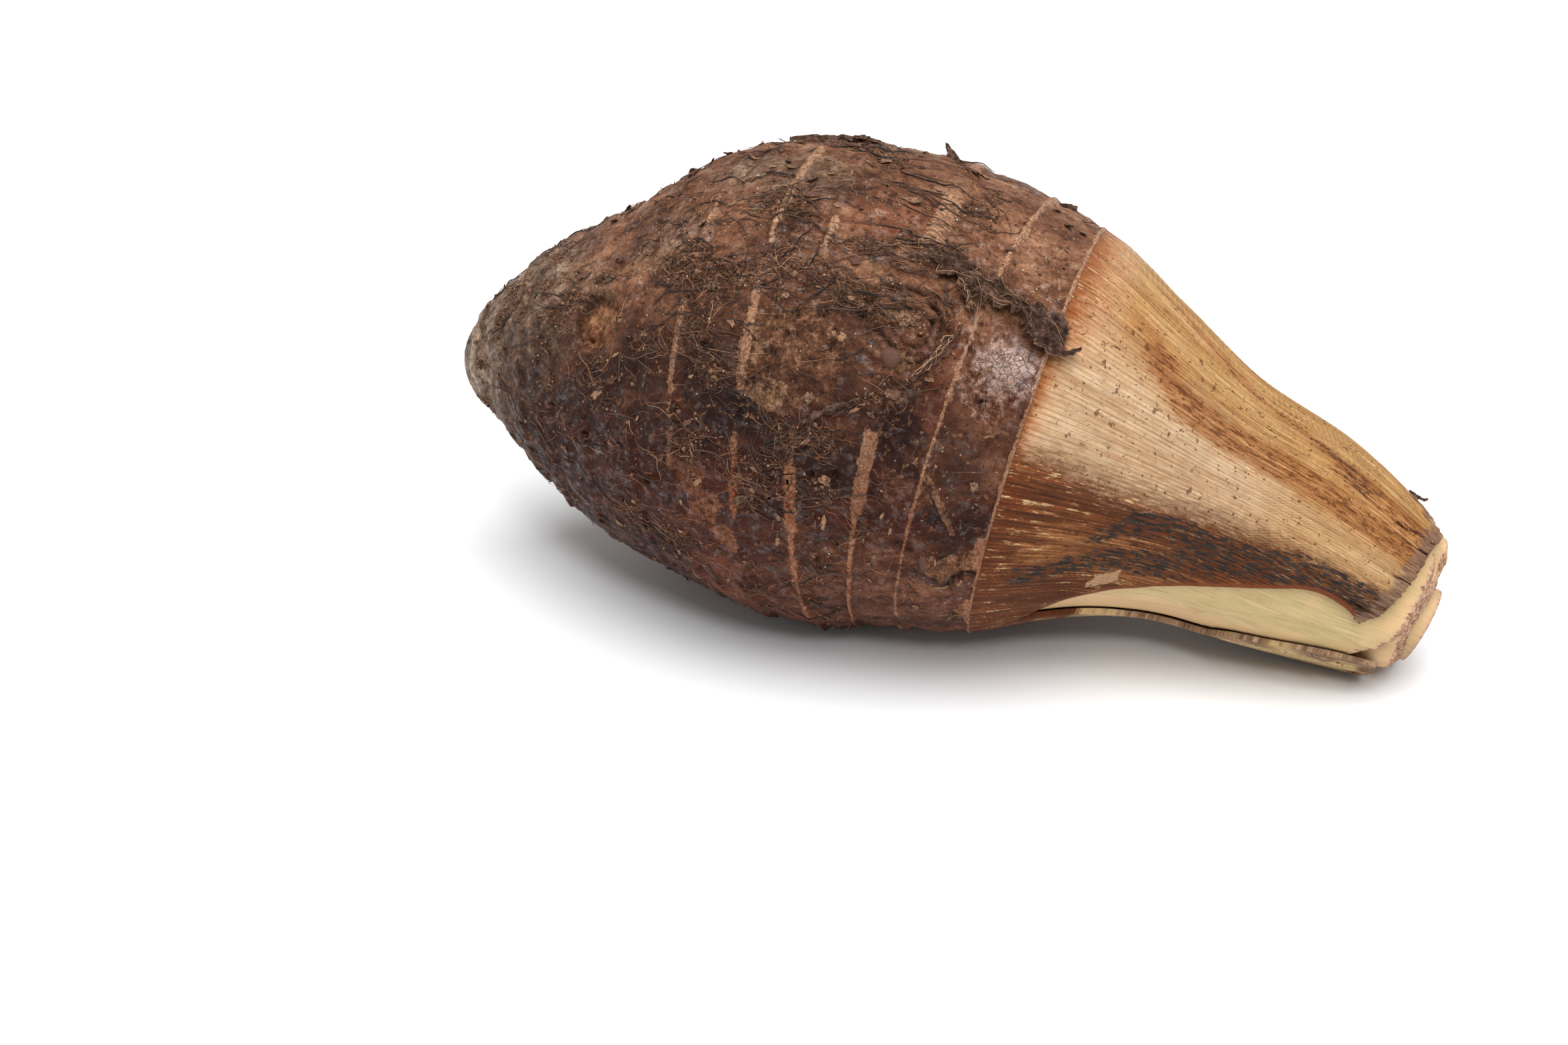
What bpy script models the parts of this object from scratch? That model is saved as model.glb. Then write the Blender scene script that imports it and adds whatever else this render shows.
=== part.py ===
"""A whole taro root, lying on its belly: the corm with its ring scars and the trimmed leaf bases of its neck.

Shape functions work in millimetres and degrees, with x along the root from its tail to its neck. Angles run
around the root from its top (0) over its near side (90) to its belly (180). Meshes are made in metres.
"""

import math

import bmesh
import bpy
import numpy as np

# Stations along the root: x, height of the centre line, radius of the outside.
STATIONS = (
    (-88.5, 48.5, 0.0),
    (-76.5, 52.0, 18.5),
    (-59.5, 54.0, 33.0),
    (-36.5, 54.5, 46.5),
    (0.0, 57.0, 59.5),
    (12.0, 57.2, 60.2),
    (28.0, 56.5, 58.8),
    (43.0, 54.0, 56.2),
    (61.0, 50.8, 51.5),
    (80.0, 45.8, 41.5),
    (98.5, 39.8, 32.8),
    (126.0, 29.4, 27.6),
    (146.0, 20.6, 21.8),
    (165.0, 12.5, 15.5),
)

# Ring scars, where old leaves fell off: x, then how far the ring leans along x at its top and on its near side.
RINGS = (
    (-85.0, 0.0, 0.0),
    (-80.0, 0.0, 1.0),
    (-73.0, -0.5, 1.5),
    (-65.0, -0.5, 2.0),
    (-55.0, -1.0, 2.0),
    (-43.0, -1.0, 2.0),
    (-27.0, 0.0, 0.5),
    (-11.0, 2.5, -4.0),
    (3.8, 2.0, -2.0),
    (15.6, 0.0, 0.0),
    (31.4, 0.0, 0.0),
    (46.8, 2.3, -3.2),
    (61.0, 0.0, 0.0),
)
RING_HEIGHT = 0.8
RING_WIDTH = 1.3
INTERNODE_SWELL = 0.6
SKIN_SINK = 0.9  # lets the swellings reach the smooth outside

TAIL_X = -88.5
NECK_RING_X = 61.0  # the newest ring, where the outer leaf base grows out of the corm
GAP = 0.35  # between pieces that lie against each other

# The growing point that the leaf bases hide: x, radius.
SHOOT = ((61.0, 48.4), (66.0, 44.6), (72.0, 38.2), (80.0, 28.0), (87.0, 15.0))
SHOOT_TIP_X = 91.0

# Marks on the near side of the corm: x, angle, and size across.
EYE = (31.5, 48.0, 14.0)
EYE_HOLE = (24.5, 47.0, 3.2)
ROUND_SCAR = (14.5, 58.0, 14.0)
PIT = (-39.5, 49.0, 7.0, 8.5)
PIT_DEPTH = 3.0
NECK_BUD = (55.5, 109.0, 5.0)
ROOT_PITS = ((12.5, 51.0), (18.2, 50.0), (21.4, 57.0), (8.3, 60.0), (-5.6, 60.0), (4.0, 74.0))
ROOT_RIDGE = ((35.6, 73.0), (41.0, 76.0), (47.3, 84.0), (53.0, 93.0))
BACK_EYE = (6.0, -112.0, 12.0)
BELLY_EYE = (-30.0, 205.0, 10.0)

# The outer leaf base: x, angle of the upper edge of its opening, angle of the lower edge.
OPENING = (
    (61.3, 150.0, 150.6),
    (68.0, 144.0, 144.7),
    (73.0, 137.0, 138.5),
    (77.0, 129.5, 139.0),
    (83.0, 121.0, 138.5),
    (90.0, 114.0, 137.5),
    (98.0, 107.5, 136.0),
    (108.0, 99.5, 133.5),
    (117.0, 91.5, 130.0),
    (123.0, 85.5, 127.5),
    (129.0, 80.0, 124.5),
    (135.0, 79.5, 121.0),
    (140.0, 82.5, 118.5),
    (143.5, 87.5, 117.5),
    (152.0, 90.0, 117.0),
)
# Where each leaf base was cut through: angle, x.
OUTER_CUT = (
    (-229.0, 151.5),
    (-205.0, 151.0),
    (-180.0, 149.5),
    (-120.0, 148.0),
    (-60.0, 149.5),
    (-28.0, 145.5),
    (-6.0, 150.5),
    (18.0, 149.3),
    (58.0, 147.6),
    (76.0, 145.4),
    (87.0, 142.3),
    (151.0, 142.0),
)
PALE_CUT = (
    (12.0, 150.6),
    (30.0, 151.0),
    (58.0, 150.8),
    (85.0, 150.2),
    (100.0, 148.4),
    (112.0, 146.2),
    (124.0, 144.2),
    (140.0, 142.5),
    (232.0, 141.5),
    (264.0, 149.0),
    (310.0, 151.0),
)
THIRD_CUT = (
    (-50.0, 152.0),
    (-10.0, 153.0),
    (22.0, 153.0),
    (40.0, 152.4),
    (70.0, 152.0),
    (100.0, 152.4),
    (130.0, 154.6),
    (165.0, 154.4),
    (250.0, 153.0),
)
OUTER_THICK = 2.3
OUTER_EDGE_THICK = 1.5
OUTER_EDGE_LIFT = (1.6, 0.6)  # how far the upper and the lower edge of the opening stand off
PALE_DEEP = 1.1  # below the inside of the outer leaf base
PALE_THICK = 2.0
PALE_BASE_X = 72.0
PALE_CUT_SLANT = 1.2
PALE_SLIT = (-19.0, 30.0)  # the angle it faces, and its half width at the cut
THIRD_DEEP = 6.1
THIRD_THICK = 2.6
THIRD_CUT_SLANT = 1.6
THIRD_BASE_X = 84.0
THIRD_SLIT_ANGLE = -110.0
THIRD_FLARE = 3.1  # near its cut it spreads where the pale leaf base leaves room
HEART = ((95.0, 24.0), (110.0, 20.0), (126.0, 16.4), (140.0, 12.2), (150.0, 9.6), (156.5, 9.5))
HEART_SAG = 3.6

# The dried husk strip: x, angle, half width, height off the skin under it.
HUSK = (
    (32.5, 30.0, 1.6, 0.9),
    (34.8, 31.8, 2.8, 1.2),
    (38.0, 33.5, 3.6, 1.8),
    (43.5, 35.0, 3.2, 2.4),
    (50.0, 35.5, 2.8, 2.2),
    (55.5, 37.0, 3.6, 2.0),
    (59.5, 40.5, 4.4, 2.4),
    (61.6, 43.5, 3.4, 2.2),
)
HUSK_THICK = 1.2


def curve(table, column, x):
    """A smooth curve through one column of a table, whose first column is x."""
    table = np.asarray(table, float)
    knots = table[:, 0]
    values = table[:, column]
    x = np.clip(x, knots[0], knots[-1])
    steps = np.diff(knots)
    slopes = np.diff(values) / steps
    middle = (slopes[:-1] * steps[1:] + slopes[1:] * steps[:-1]) / (steps[1:] + steps[:-1])
    tangents = np.concatenate([slopes[:1], middle, slopes[-1:]])
    i = np.clip(np.searchsorted(knots, x) - 1, 0, len(knots) - 2)
    t = (x - knots[i]) / steps[i]
    start = values[i] * (2 * t**3 - 3 * t**2 + 1) + steps[i] * tangents[i] * (t**3 - 2 * t**2 + t)
    end = values[i + 1] * (3 * t**2 - 2 * t**3) + steps[i] * tangents[i + 1] * (t**3 - t**2)
    return start + end


def ramp(low, high, x):
    """0 below low, 1 above high, smooth between."""
    t = np.clip((x - low) / (high - low), 0.0, 1.0)
    return t * t * (3 - 2 * t)


def centre_height(x):
    return curve(STATIONS, 1, x)


def radius(x):
    areas = [(station[0], station[2] ** 2) for station in STATIONS]
    return np.sqrt(np.maximum(curve(areas, 1, x), 0.0))


def surface(x, angle, off):
    """The point that far off the smooth outside of the root, or off its centre line where radius is 0."""
    x, angle, off = np.broadcast_arrays(np.asarray(x, float), angle, off)
    turn = np.radians(angle)
    slope = (centre_height(x + 0.01) - centre_height(x - 0.01)) / 0.02
    length = np.hypot(1.0, slope)
    reach = radius(x) + off
    up = reach * np.cos(turn)
    points = np.stack([x - up * slope / length, -reach * np.sin(turn), centre_height(x) + up / length], -1)
    return points


def patch(x, angle, mark):
    """Distances along and around the skin from the middle of a mark."""
    around = (angle - mark[1] + 180.0) % 360.0 - 180.0
    return x - mark[0], np.radians(around) * 56.0


def leaned(s, angle):
    """The x of a line around the corm that keeps its place between the leaning rings."""
    turn = np.radians(angle)
    return s + curve(RINGS, 1, s) * np.cos(turn) + curve(RINGS, 2, s) * np.sin(turn)


def ring_relief(s, angle):
    """Low ridges at the rings, and the slight swell of the skin between them."""
    height = np.zeros_like(s * angle)
    places = [ring[0] for ring in RINGS]
    for place in places[:-1]:
        height += RING_HEIGHT * np.exp(-(((s - place) / RING_WIDTH) ** 2))
        height -= 0.35 * np.exp(-(((s - place - 2.6) / 1.3) ** 2))
    for low, high in zip(places[:-1], places[1:]):
        share = np.clip((s - low) / (high - low), 0.0, 1.0)
        height += INTERNODE_SWELL * np.sin(np.pi * share) * (high - low) / 15.0
    return height


def eye_relief(x, angle, mark, ripples):
    """A dormant eye: a low swelling with the rings of its scale leaves around it."""
    along, around = patch(x, angle, mark)
    away = np.hypot(along, around)
    size = mark[2]
    swelling = 1.6 * np.exp(-((away / size) ** 2))
    rings = 0.5 * np.cos(2 * np.pi * away / (size / ripples)) * ramp(size * 1.15, size * 0.8, away)
    return swelling + rings


def dent(x, angle, mark, depth, edge):
    """A hollow with a fairly steep rim."""
    along, around = patch(x, angle, mark)
    away = np.hypot(along / mark[2], around / mark[-1])
    return -depth * ramp(1.0 + edge, 1.0 - edge, away)


def ridge_relief(x, angle):
    """An old root that lies along the skin."""
    height = np.zeros_like(x * angle)
    for start, end in zip(ROOT_RIDGE[:-1], ROOT_RIDGE[1:]):
        along, around = patch(x, angle, start)
        run = (end[0] - start[0], math.radians(end[1] - start[1]) * 56.0)
        share = np.clip((along * run[0] + around * run[1]) / (run[0] ** 2 + run[1] ** 2), 0.0, 1.0)
        away = np.hypot(along - share * run[0], around - share * run[1])
        height = np.maximum(height, 1.1 * np.exp(-((away / 1.6) ** 2)))
    return height


def corm_relief(x, s, angle):
    """How far the corm's skin stands off the smooth outside."""
    turn = np.radians(angle)
    back = ramp(-0.1, -0.8, np.sin(turn))
    lumps = 0.3 * np.sin(3 * turn - x / 11.0 + 1.0) + back * 1.2 * np.sin(2 * turn + x / 19.0)
    height = ring_relief(s, angle) + lumps - SKIN_SINK
    height += eye_relief(x, angle, EYE, 3.3) + dent(x, angle, EYE_HOLE, 1.8, 0.5)
    height += eye_relief(x, angle, BACK_EYE, 3.0) + eye_relief(x, angle, BELLY_EYE, 2.5)
    height += dent(x, angle, ROUND_SCAR, 0.7, 0.12) + dent(x, angle, PIT, PIT_DEPTH, 0.28)
    along, around = patch(x, angle, NECK_BUD)
    height += 1.5 * np.exp(-((along**2 + around**2) / NECK_BUD[2] ** 2))
    for place in ROOT_PITS:
        height += dent(x, angle, (*place, 1.7), 0.6, 0.5)
    height += ridge_relief(x, angle)
    # The skin runs out flush at the newest ring and at the tail.
    return height * ramp(NECK_RING_X + 0.2, NECK_RING_X - 3.5, x) * ramp(TAIL_X, TAIL_X + 12.0, x)


def corm_lines():
    """Places of the lines around the corm: three at each ring, and enough between them for the marks."""
    places = [-87.6]
    for low, high in zip(RINGS[:-1], RINGS[1:]):
        places += [low[0] - 1.4, low[0], low[0] + 1.4]
        span = high[0] - low[0] - 2.8
        fine = 3.4 if 12.0 < low[0] < 40.0 or -46.0 < low[0] < -40.0 else 4.6
        count = max(int(round(span / fine)), 1)
        places += [low[0] + 1.4 + span * k / count for k in range(1, count)]
    places = [place for place in places if place > -87.7]
    return np.array(sorted(set(places + [NECK_RING_X - 1.4, NECK_RING_X - 0.2])))


def corm_angles():
    """Closer together over the near side, where the eye and the scars are."""
    near = np.arange(36.0, 69.0, 2.9)
    side = np.arange(70.0, 118.0, 5.2)
    rest = np.linspace(121.0, 389.0, 37)
    return np.concatenate([near, side, rest])


def grow(name, rows, tips, colour, rough):
    """One closed body from rows of points around an axis and the point at each end."""
    count, around = rows.shape[:2]
    points = np.concatenate([rows.reshape(-1, 3), np.array(tips)])
    faces = []
    for i in range(count - 1):
        for j in range(around):
            k = (j + 1) % around
            faces.append((i * around + j, i * around + k, (i + 1) * around + k, (i + 1) * around + j))
    last = (count - 1) * around
    for j in range(around):
        k = (j + 1) % around
        faces.append((count * around, k, j))
        faces.append((count * around + 1, last + j, last + k))
    return make_body(name, points, faces, colour, rough)


def fold(name, outer, inner, colour, rough):
    """One closed sheet from the grid of its outside and the grid of its inside."""
    rows, columns = outer.shape[:2]
    points = np.concatenate([outer.reshape(-1, 3), inner.reshape(-1, 3)])
    back = rows * columns
    faces = []
    for i in range(rows - 1):
        for j in range(columns - 1):
            a = i * columns + j
            c = a + columns
            faces.append((a, a + 1, c + 1, c))
            faces.append((back + a, back + c, back + c + 1, back + a + 1))
    rim = [(0, j) for j in range(columns)]
    rim += [(i, columns - 1) for i in range(1, rows)]
    rim += [(rows - 1, j) for j in range(columns - 2, -1, -1)]
    rim += [(i, 0) for i in range(rows - 2, 0, -1)]
    for (i, j), (m, n) in zip(rim, rim[1:] + rim[:1]):
        a = i * columns + j
        b = m * columns + n
        faces.append((a, back + a, back + b, b))
    return make_body(name, points, faces, colour, rough)


def make_body(name, points, faces, colour, rough):
    mesh = bpy.data.meshes.new(name)
    mesh.from_pydata((np.asarray(points) / 1000.0).tolist(), [], faces)
    shape = bmesh.new()
    shape.from_mesh(mesh)
    bmesh.ops.recalc_face_normals(shape, faces=shape.faces)
    shape.to_mesh(mesh)
    shape.free()
    mesh.shade_smooth()
    mesh.set_sharp_from_angle(angle=math.radians(42.0))
    material = bpy.data.materials.new(name)
    material.use_nodes = True
    shader = material.node_tree.nodes["Principled BSDF"]
    shader.inputs["Base Color"].default_value = (*colour, 1.0)
    shader.inputs["Roughness"].default_value = rough
    mesh.materials.append(material)
    body = bpy.data.objects.new(name, mesh)
    bpy.context.scene.collection.objects.link(body)
    return body


def build_corm():
    """The swollen stem, down to the flat its weight has pressed in its belly."""
    s, angle = np.meshgrid(corm_lines(), corm_angles(), indexing="ij")
    x = leaned(s, angle)
    skin = surface(x, angle, corm_relief(x, s, angle))
    shoot_x = np.array([place[0] for place in SHOOT])
    x, angle = np.meshgrid(shoot_x, corm_angles(), indexing="ij")
    shoot = surface(x, angle, curve(SHOOT, 1, x) - radius(x))
    rows = np.concatenate([skin, shoot])
    rows[..., 2] = np.maximum(rows[..., 2], 0.0)
    tips = [surface(TAIL_X, 0.0, 0.0), surface(SHOOT_TIP_X, 0.0, -radius(SHOOT_TIP_X))]
    return grow("corm", rows, tips, (0.12, 0.06, 0.035), 0.85)


def outer_edges(x, angle):
    """How far inside the outer leaf base a place is from the upper and lower edges of its opening, in mm."""
    to_upper = np.radians(curve(OPENING, 1, x) - angle) * radius(x)
    to_lower = np.radians(angle - (curve(OPENING, 2, x) - 360.0)) * radius(x)
    return np.maximum(to_upper, 0.0), np.maximum(to_lower, 0.0)


def outer_edge(x, angle):
    return np.minimum(*outer_edges(x, angle))


def edge_lift(x, angle):
    upper, lower = outer_edges(x, angle)
    lift = OUTER_EDGE_LIFT[0] * np.exp(-((upper / 8.0) ** 2)) + OUTER_EDGE_LIFT[1] * np.exp(-((lower / 8.0) ** 2))
    return lift * ramp(80.0, 104.0, x)


def outer_outside(x, angle):
    """How far the outer leaf base stands off the smooth outside: its edges lift, and it is ribbed along."""
    turn = np.radians(angle)
    waves = 0.35 * np.sin(7 * turn + x / 24.0) + 0.2 * np.sin(12 * turn)
    return edge_lift(x, angle) + waves * ramp(64.0, 84.0, x) * ramp(0.0, 8.0, outer_edge(x, angle))


def outer_thick(x, angle):
    return OUTER_EDGE_THICK + (OUTER_THICK - OUTER_EDGE_THICK) * ramp(0.0, 6.0, outer_edge(x, angle))


def build_outer_leaf():
    """The outer leaf base, dry and ribbed, open along the near side below."""
    along = np.array([0.0, 0.02, 0.06, 0.12, 0.19, 0.26, 0.33, 0.4, 0.47, 0.54, 0.61, 0.68, 0.75, 0.82, 0.89, 0.95, 1.0])
    around = np.concatenate([[0.0, 0.012, 0.03], np.linspace(0.055, 0.55, 26), np.linspace(0.59, 0.96, 12), [0.985, 1.0]])
    start = OPENING[0][0]
    f, u = np.meshgrid(along, around, indexing="ij")
    x = start + f * (147.0 - start)
    for _ in range(4):
        upper = curve(OPENING, 1, x)
        angle = upper + u * (curve(OPENING, 2, x) - 360.0 - upper)
        x = start + f * (curve(OUTER_CUT, 1, angle) - start)
    off = outer_outside(x, angle)
    outer = surface(x, angle, off)
    inner = surface(x, angle, off - outer_thick(x, angle))
    return fold("leaf_base_outer", outer, inner, (0.55, 0.33, 0.15), 0.6)


def pale_outside(x, angle):
    """The second leaf base fills the outer one, and swells a little into its opening."""
    middle = (curve(OPENING, 1, x) + curve(OPENING, 2, x)) / 2
    angle = np.where(angle > middle, angle - 360.0, angle)
    covered = ramp(0.0, 8.0, outer_edge(x, angle))
    return edge_lift(x, angle) - outer_thick(x, angle) - GAP - 0.25 - (PALE_DEEP - GAP) * covered


def build_pale_leaf():
    """The second leaf base, pale and fleshy, with its slit on top."""
    along = np.linspace(0.0, 1.0, 16) ** 0.9
    around = np.concatenate([np.linspace(0.0, 0.42, 22), np.linspace(0.46, 1.0, 14)])
    f, u = np.meshgrid(along, around, indexing="ij")
    slit = 1.0 + (PALE_SLIT[1] - 1.0) * ramp(0.72, 0.9, f)
    angle = PALE_SLIT[0] + slit + u * (360.0 - 2 * slit)
    x = PALE_BASE_X + f * (curve(PALE_CUT, 1, angle) - PALE_BASE_X)
    off = pale_outside(x, angle)
    outer = surface(x, angle, off)
    inner = surface(x + PALE_CUT_SLANT * ramp(110.0, 140.0, x), angle, off - PALE_THICK)
    return fold("leaf_base_pale", outer, inner, (0.75, 0.68, 0.4), 0.5)


def build_third_leaf():
    """The third leaf base, which shows beyond the cut of the second, with its slit at the back."""
    along = np.concatenate([np.linspace(0.0, 0.8, 8), np.linspace(0.85, 1.0, 4)])
    around = np.linspace(0.0, 1.0, 33)
    f, u = np.meshgrid(along, around, indexing="ij")
    slit = 2.0 + 8.0 * f**3
    angle = THIRD_SLIT_ANGLE + slit + u * (360.0 - 2 * slit)
    x = THIRD_BASE_X + f * (curve(THIRD_CUT, 1, angle) - THIRD_BASE_X)
    above = ramp(-46.0, -34.0, angle) * ramp(8.0, -4.0, angle)
    below = ramp(108.0, 126.0, angle) * ramp(248.0, 228.0, angle)
    off = THIRD_FLARE * (above + below) * ramp(143.0, 150.0, x) - THIRD_DEEP + 1.4 * above * ramp(150.9, 153.0, x)
    outer = surface(x, angle, off)
    inner = surface(x + THIRD_CUT_SLANT * ramp(120.0, 150.0, x), angle, off - THIRD_THICK)
    return fold("leaf_base_third", outer, inner, (0.78, 0.7, 0.45), 0.5)


def build_heart():
    """The rolled youngest leaves at the middle of the neck, cut off furthest out."""
    x, angle = np.meshgrid(np.linspace(HEART[0][0], HEART[-1][0], 12), np.linspace(0.0, 345.0, 24), indexing="ij")
    rows = surface(x, angle, curve(HEART, 1, x) - radius(x))
    sag = HEART_SAG * ramp(141.0, 152.5, x)
    rows[..., 2] -= sag
    ends = [rows[0].mean(axis=0), rows[-1].mean(axis=0) + np.array([0.8, 0.0, -0.3])]
    return grow("leaf_heart", rows, ends, (0.8, 0.72, 0.48), 0.5)


def skin_height(x, angle):
    """The height of whatever lies under a scrap of husk: corm, or leaf base beyond the newest ring."""
    on_corm = corm_relief(x, 2 * x - leaned(x, angle), angle)
    return np.where(x < NECK_RING_X, on_corm, 0.4)


def build_husk():
    """The dried strip left from an old leaf base, torn and curled at its end."""
    t = np.linspace(0.0, 1.0, 18)
    table = [(k / (len(HUSK) - 1), *row) for k, row in enumerate(HUSK)]
    x, angle, half, lift = (curve(table, column, t) for column in (1, 2, 3, 4))
    around = np.radians(angle) * 54.0
    run = np.hypot(np.gradient(x), np.gradient(around))
    across = np.linspace(-1.0, 1.0, 6)
    side_x = -np.gradient(around) / run
    side_v = np.gradient(x) / run
    torn = 1.0 + 0.18 * np.sin(t * 31.0)[:, None] * across**2
    wide = half[:, None] * across * torn
    place = x[:, None] + side_x[:, None] * wide
    turned = np.degrees((around[:, None] + side_v[:, None] * wide) / 54.0)
    bow = lift[:, None] * (0.75 + 0.35 * across - 0.3 * across**2) + 0.4 * np.sin(t * 24.0)[:, None] * across
    low = skin_height(place, turned) + np.maximum(bow, 0.9)
    outer = surface(place, turned, low + HUSK_THICK)
    inner = surface(place, turned, low)
    return fold("husk_strip", outer, inner, (0.07, 0.05, 0.035), 0.95)


def build_flake():
    """A curled flake of old bark on the top."""
    x, angle = np.meshgrid(np.linspace(-3.0, 11.0, 8), np.linspace(-36.0, -20.0, 6), indexing="ij")
    share = (angle + 36.0) / 16.0
    end = ((x - 4.0) / 7.0) ** 2
    low = skin_height(x, angle) + 0.55 + 0.7 * (1 - share) ** 2 * end + 0.3 * end
    x = x + 1.5 * np.sin(share * 5.0) * end
    outer = surface(x, angle, low + 0.8)
    inner = surface(x, angle, low)
    return fold("husk_flake", outer, inner, (0.3, 0.2, 0.12), 0.9)


def build_spike(name, x0, angle0, size, lean):
    """A stiff end of dried husk that stands up."""
    rows = []
    for share, width in ((0.0, 1.0), (0.3, 0.8), (0.65, 0.5), (0.9, 0.22)):
        turn = np.linspace(0.0, 2 * np.pi, 8)[:-1]
        x = x0 + size[0] * width * np.cos(turn) - lean * share**1.4
        angle = angle0 + size[1] * width * np.sin(turn)
        base = skin_height(np.array(x0), np.array(angle0)) + 0.7
        rows.append(surface(x, angle, base + size[2] * share))
    rows = np.array(rows)
    bottom = rows[0].mean(axis=0)
    top = rows[-1].mean(axis=0) + (surface(x0, angle0, 1.0) - surface(x0, angle0, 0.0)) * size[2] * 0.12
    return grow(name, rows, [bottom, top], (0.1, 0.07, 0.05), 0.95)


def stand_on_origin(bodies):
    """Moves every mesh so that the bottom of their common box is centred on the origin."""
    points = np.array([vertex.co[:] for body in bodies for vertex in body.data.vertices])
    low, high = points.min(axis=0), points.max(axis=0)
    move = np.array([-(low[0] + high[0]) / 2, -(low[1] + high[1]) / 2, -low[2]])
    for body in bodies:
        for vertex in body.data.vertices:
            vertex.co = np.array(vertex.co) + move


def main():
    for existing in list(bpy.data.objects):
        bpy.data.objects.remove(existing)
    bodies = [
        build_corm(),
        build_outer_leaf(),
        build_pale_leaf(),
        build_third_leaf(),
        build_heart(),
        build_husk(),
        build_flake(),
        build_spike("husk_thorn", 27.5, -20.0, (1.1, 1.1, 3.2), 1.8),
        build_spike("husk_scrap", 52.5, -22.0, (2.4, 1.5, 1.4), -2.2),
    ]
    stand_on_origin(bodies)


main()
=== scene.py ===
"""The looks of a whole taro root that lies on its belly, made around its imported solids.

Shapes are worked out in millimetres and degrees, with x along the root from its tail to its neck, and angles
around it from its top (0) over its near side (90) to its belly (180).
"""

import math

import bmesh
import bpy
import numpy as np
from mathutils import Matrix, Vector


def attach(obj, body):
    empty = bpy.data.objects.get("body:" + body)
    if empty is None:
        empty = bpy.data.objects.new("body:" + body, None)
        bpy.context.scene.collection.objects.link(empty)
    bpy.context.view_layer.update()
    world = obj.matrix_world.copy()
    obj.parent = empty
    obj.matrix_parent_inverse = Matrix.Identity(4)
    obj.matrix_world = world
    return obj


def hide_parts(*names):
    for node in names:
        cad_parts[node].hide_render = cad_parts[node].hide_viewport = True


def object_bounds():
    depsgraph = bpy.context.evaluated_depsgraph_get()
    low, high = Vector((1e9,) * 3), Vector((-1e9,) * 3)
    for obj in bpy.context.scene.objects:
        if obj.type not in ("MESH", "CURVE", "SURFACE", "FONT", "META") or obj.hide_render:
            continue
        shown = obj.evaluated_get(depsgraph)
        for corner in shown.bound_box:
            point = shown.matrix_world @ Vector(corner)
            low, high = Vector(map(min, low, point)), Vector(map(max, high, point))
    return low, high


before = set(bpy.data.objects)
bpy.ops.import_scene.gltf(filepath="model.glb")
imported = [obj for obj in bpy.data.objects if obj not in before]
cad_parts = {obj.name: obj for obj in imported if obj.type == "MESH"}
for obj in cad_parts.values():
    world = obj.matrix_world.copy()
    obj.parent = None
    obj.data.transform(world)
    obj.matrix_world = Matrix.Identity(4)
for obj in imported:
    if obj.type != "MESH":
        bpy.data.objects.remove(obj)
solid_box = [list(map(float, corner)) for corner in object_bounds()]

# ----------------------------------------------------------------------------------------------------------
# The corm: the swollen stem that stores the plant's starch, in a thin skin of reddish brown cork. It is
# grown in one piece, with a ring scar where each old leaf fell off, dormant eyes, and small craters that
# roots came out of.
# ----------------------------------------------------------------------------------------------------------
# x, height of the centre line, radius
STATIONS = (
    (-88.5, 48.5, 0), (-76.5, 52, 18.5), (-59.5, 54, 33), (-36.5, 54.5, 46.5), (0, 57, 59.5),
    (12, 57.2, 60.2), (28, 56.5, 58.8), (43, 54, 56.2), (61, 50.8, 51.5), (80, 45.8, 41.5),
    (98.5, 39.8, 32.8), (126, 29.4, 27.6), (146, 20.6, 21.8), (165, 12.5, 15.5),
)
# x, how far the ring leans along x at its top and on its near side
RINGS = (
    (-85, 0, 0), (-80, 0, 1), (-73, -0.5, 1.5), (-65, -0.5, 2), (-55, -1, 2), (-43, -1, 2), (-27, 0, 0.5),
    (-11, 2.5, -4), (3.8, 2, -2), (15.6, 0, 0), (31.4, 0, 0), (46.8, 2.3, -3.2), (61, 0, 0),
)
TAIL = (-88.5, 0, 48.5)
NECK_RING_X = 61.0
SKIN_SINK = 0.9
# x, angle, size across
EYE = (31.5, 48, 14)
EYE_HOLE = (24.5, 47, 3.2)
ROUND_SCAR = (14.5, 58, 14)
SCAR_CORK = (13.2, 61.5, 11.3)
BACK_EYE = (6, -112, 12)
BELLY_EYE = (-30, 205, 10)
NECK_BUD = (55.5, 109, 5)
# x, angle, half length, half width
PIT = (-38.8, 51.8, 6.8, 9)
WAXY = (55.3, 50.5, 4.8, 6)
# x, angle
EYE_MIDDLE = (EYE[0] + 1.6, EYE[1] + 1.0)
RING_BUD = (58, 110)
RING_WART = (58.6, 101)
RING_SCAR = (51.8, 105.5)
ROOT_PITS = ((12.5, 51), (18.2, 50), (21.4, 57), (8.3, 60), (-5.6, 60), (4, 74))
ROOT_RIDGE = ((34.6, 73.5), (38.5, 76), (42, 78.2), (45.4, 81.4), (49.2, 86.8), (53.4, 94))
# the corm's usual radius, which makes mm out of degrees around its skin
MEAN_RADIUS = 56.0
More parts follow.
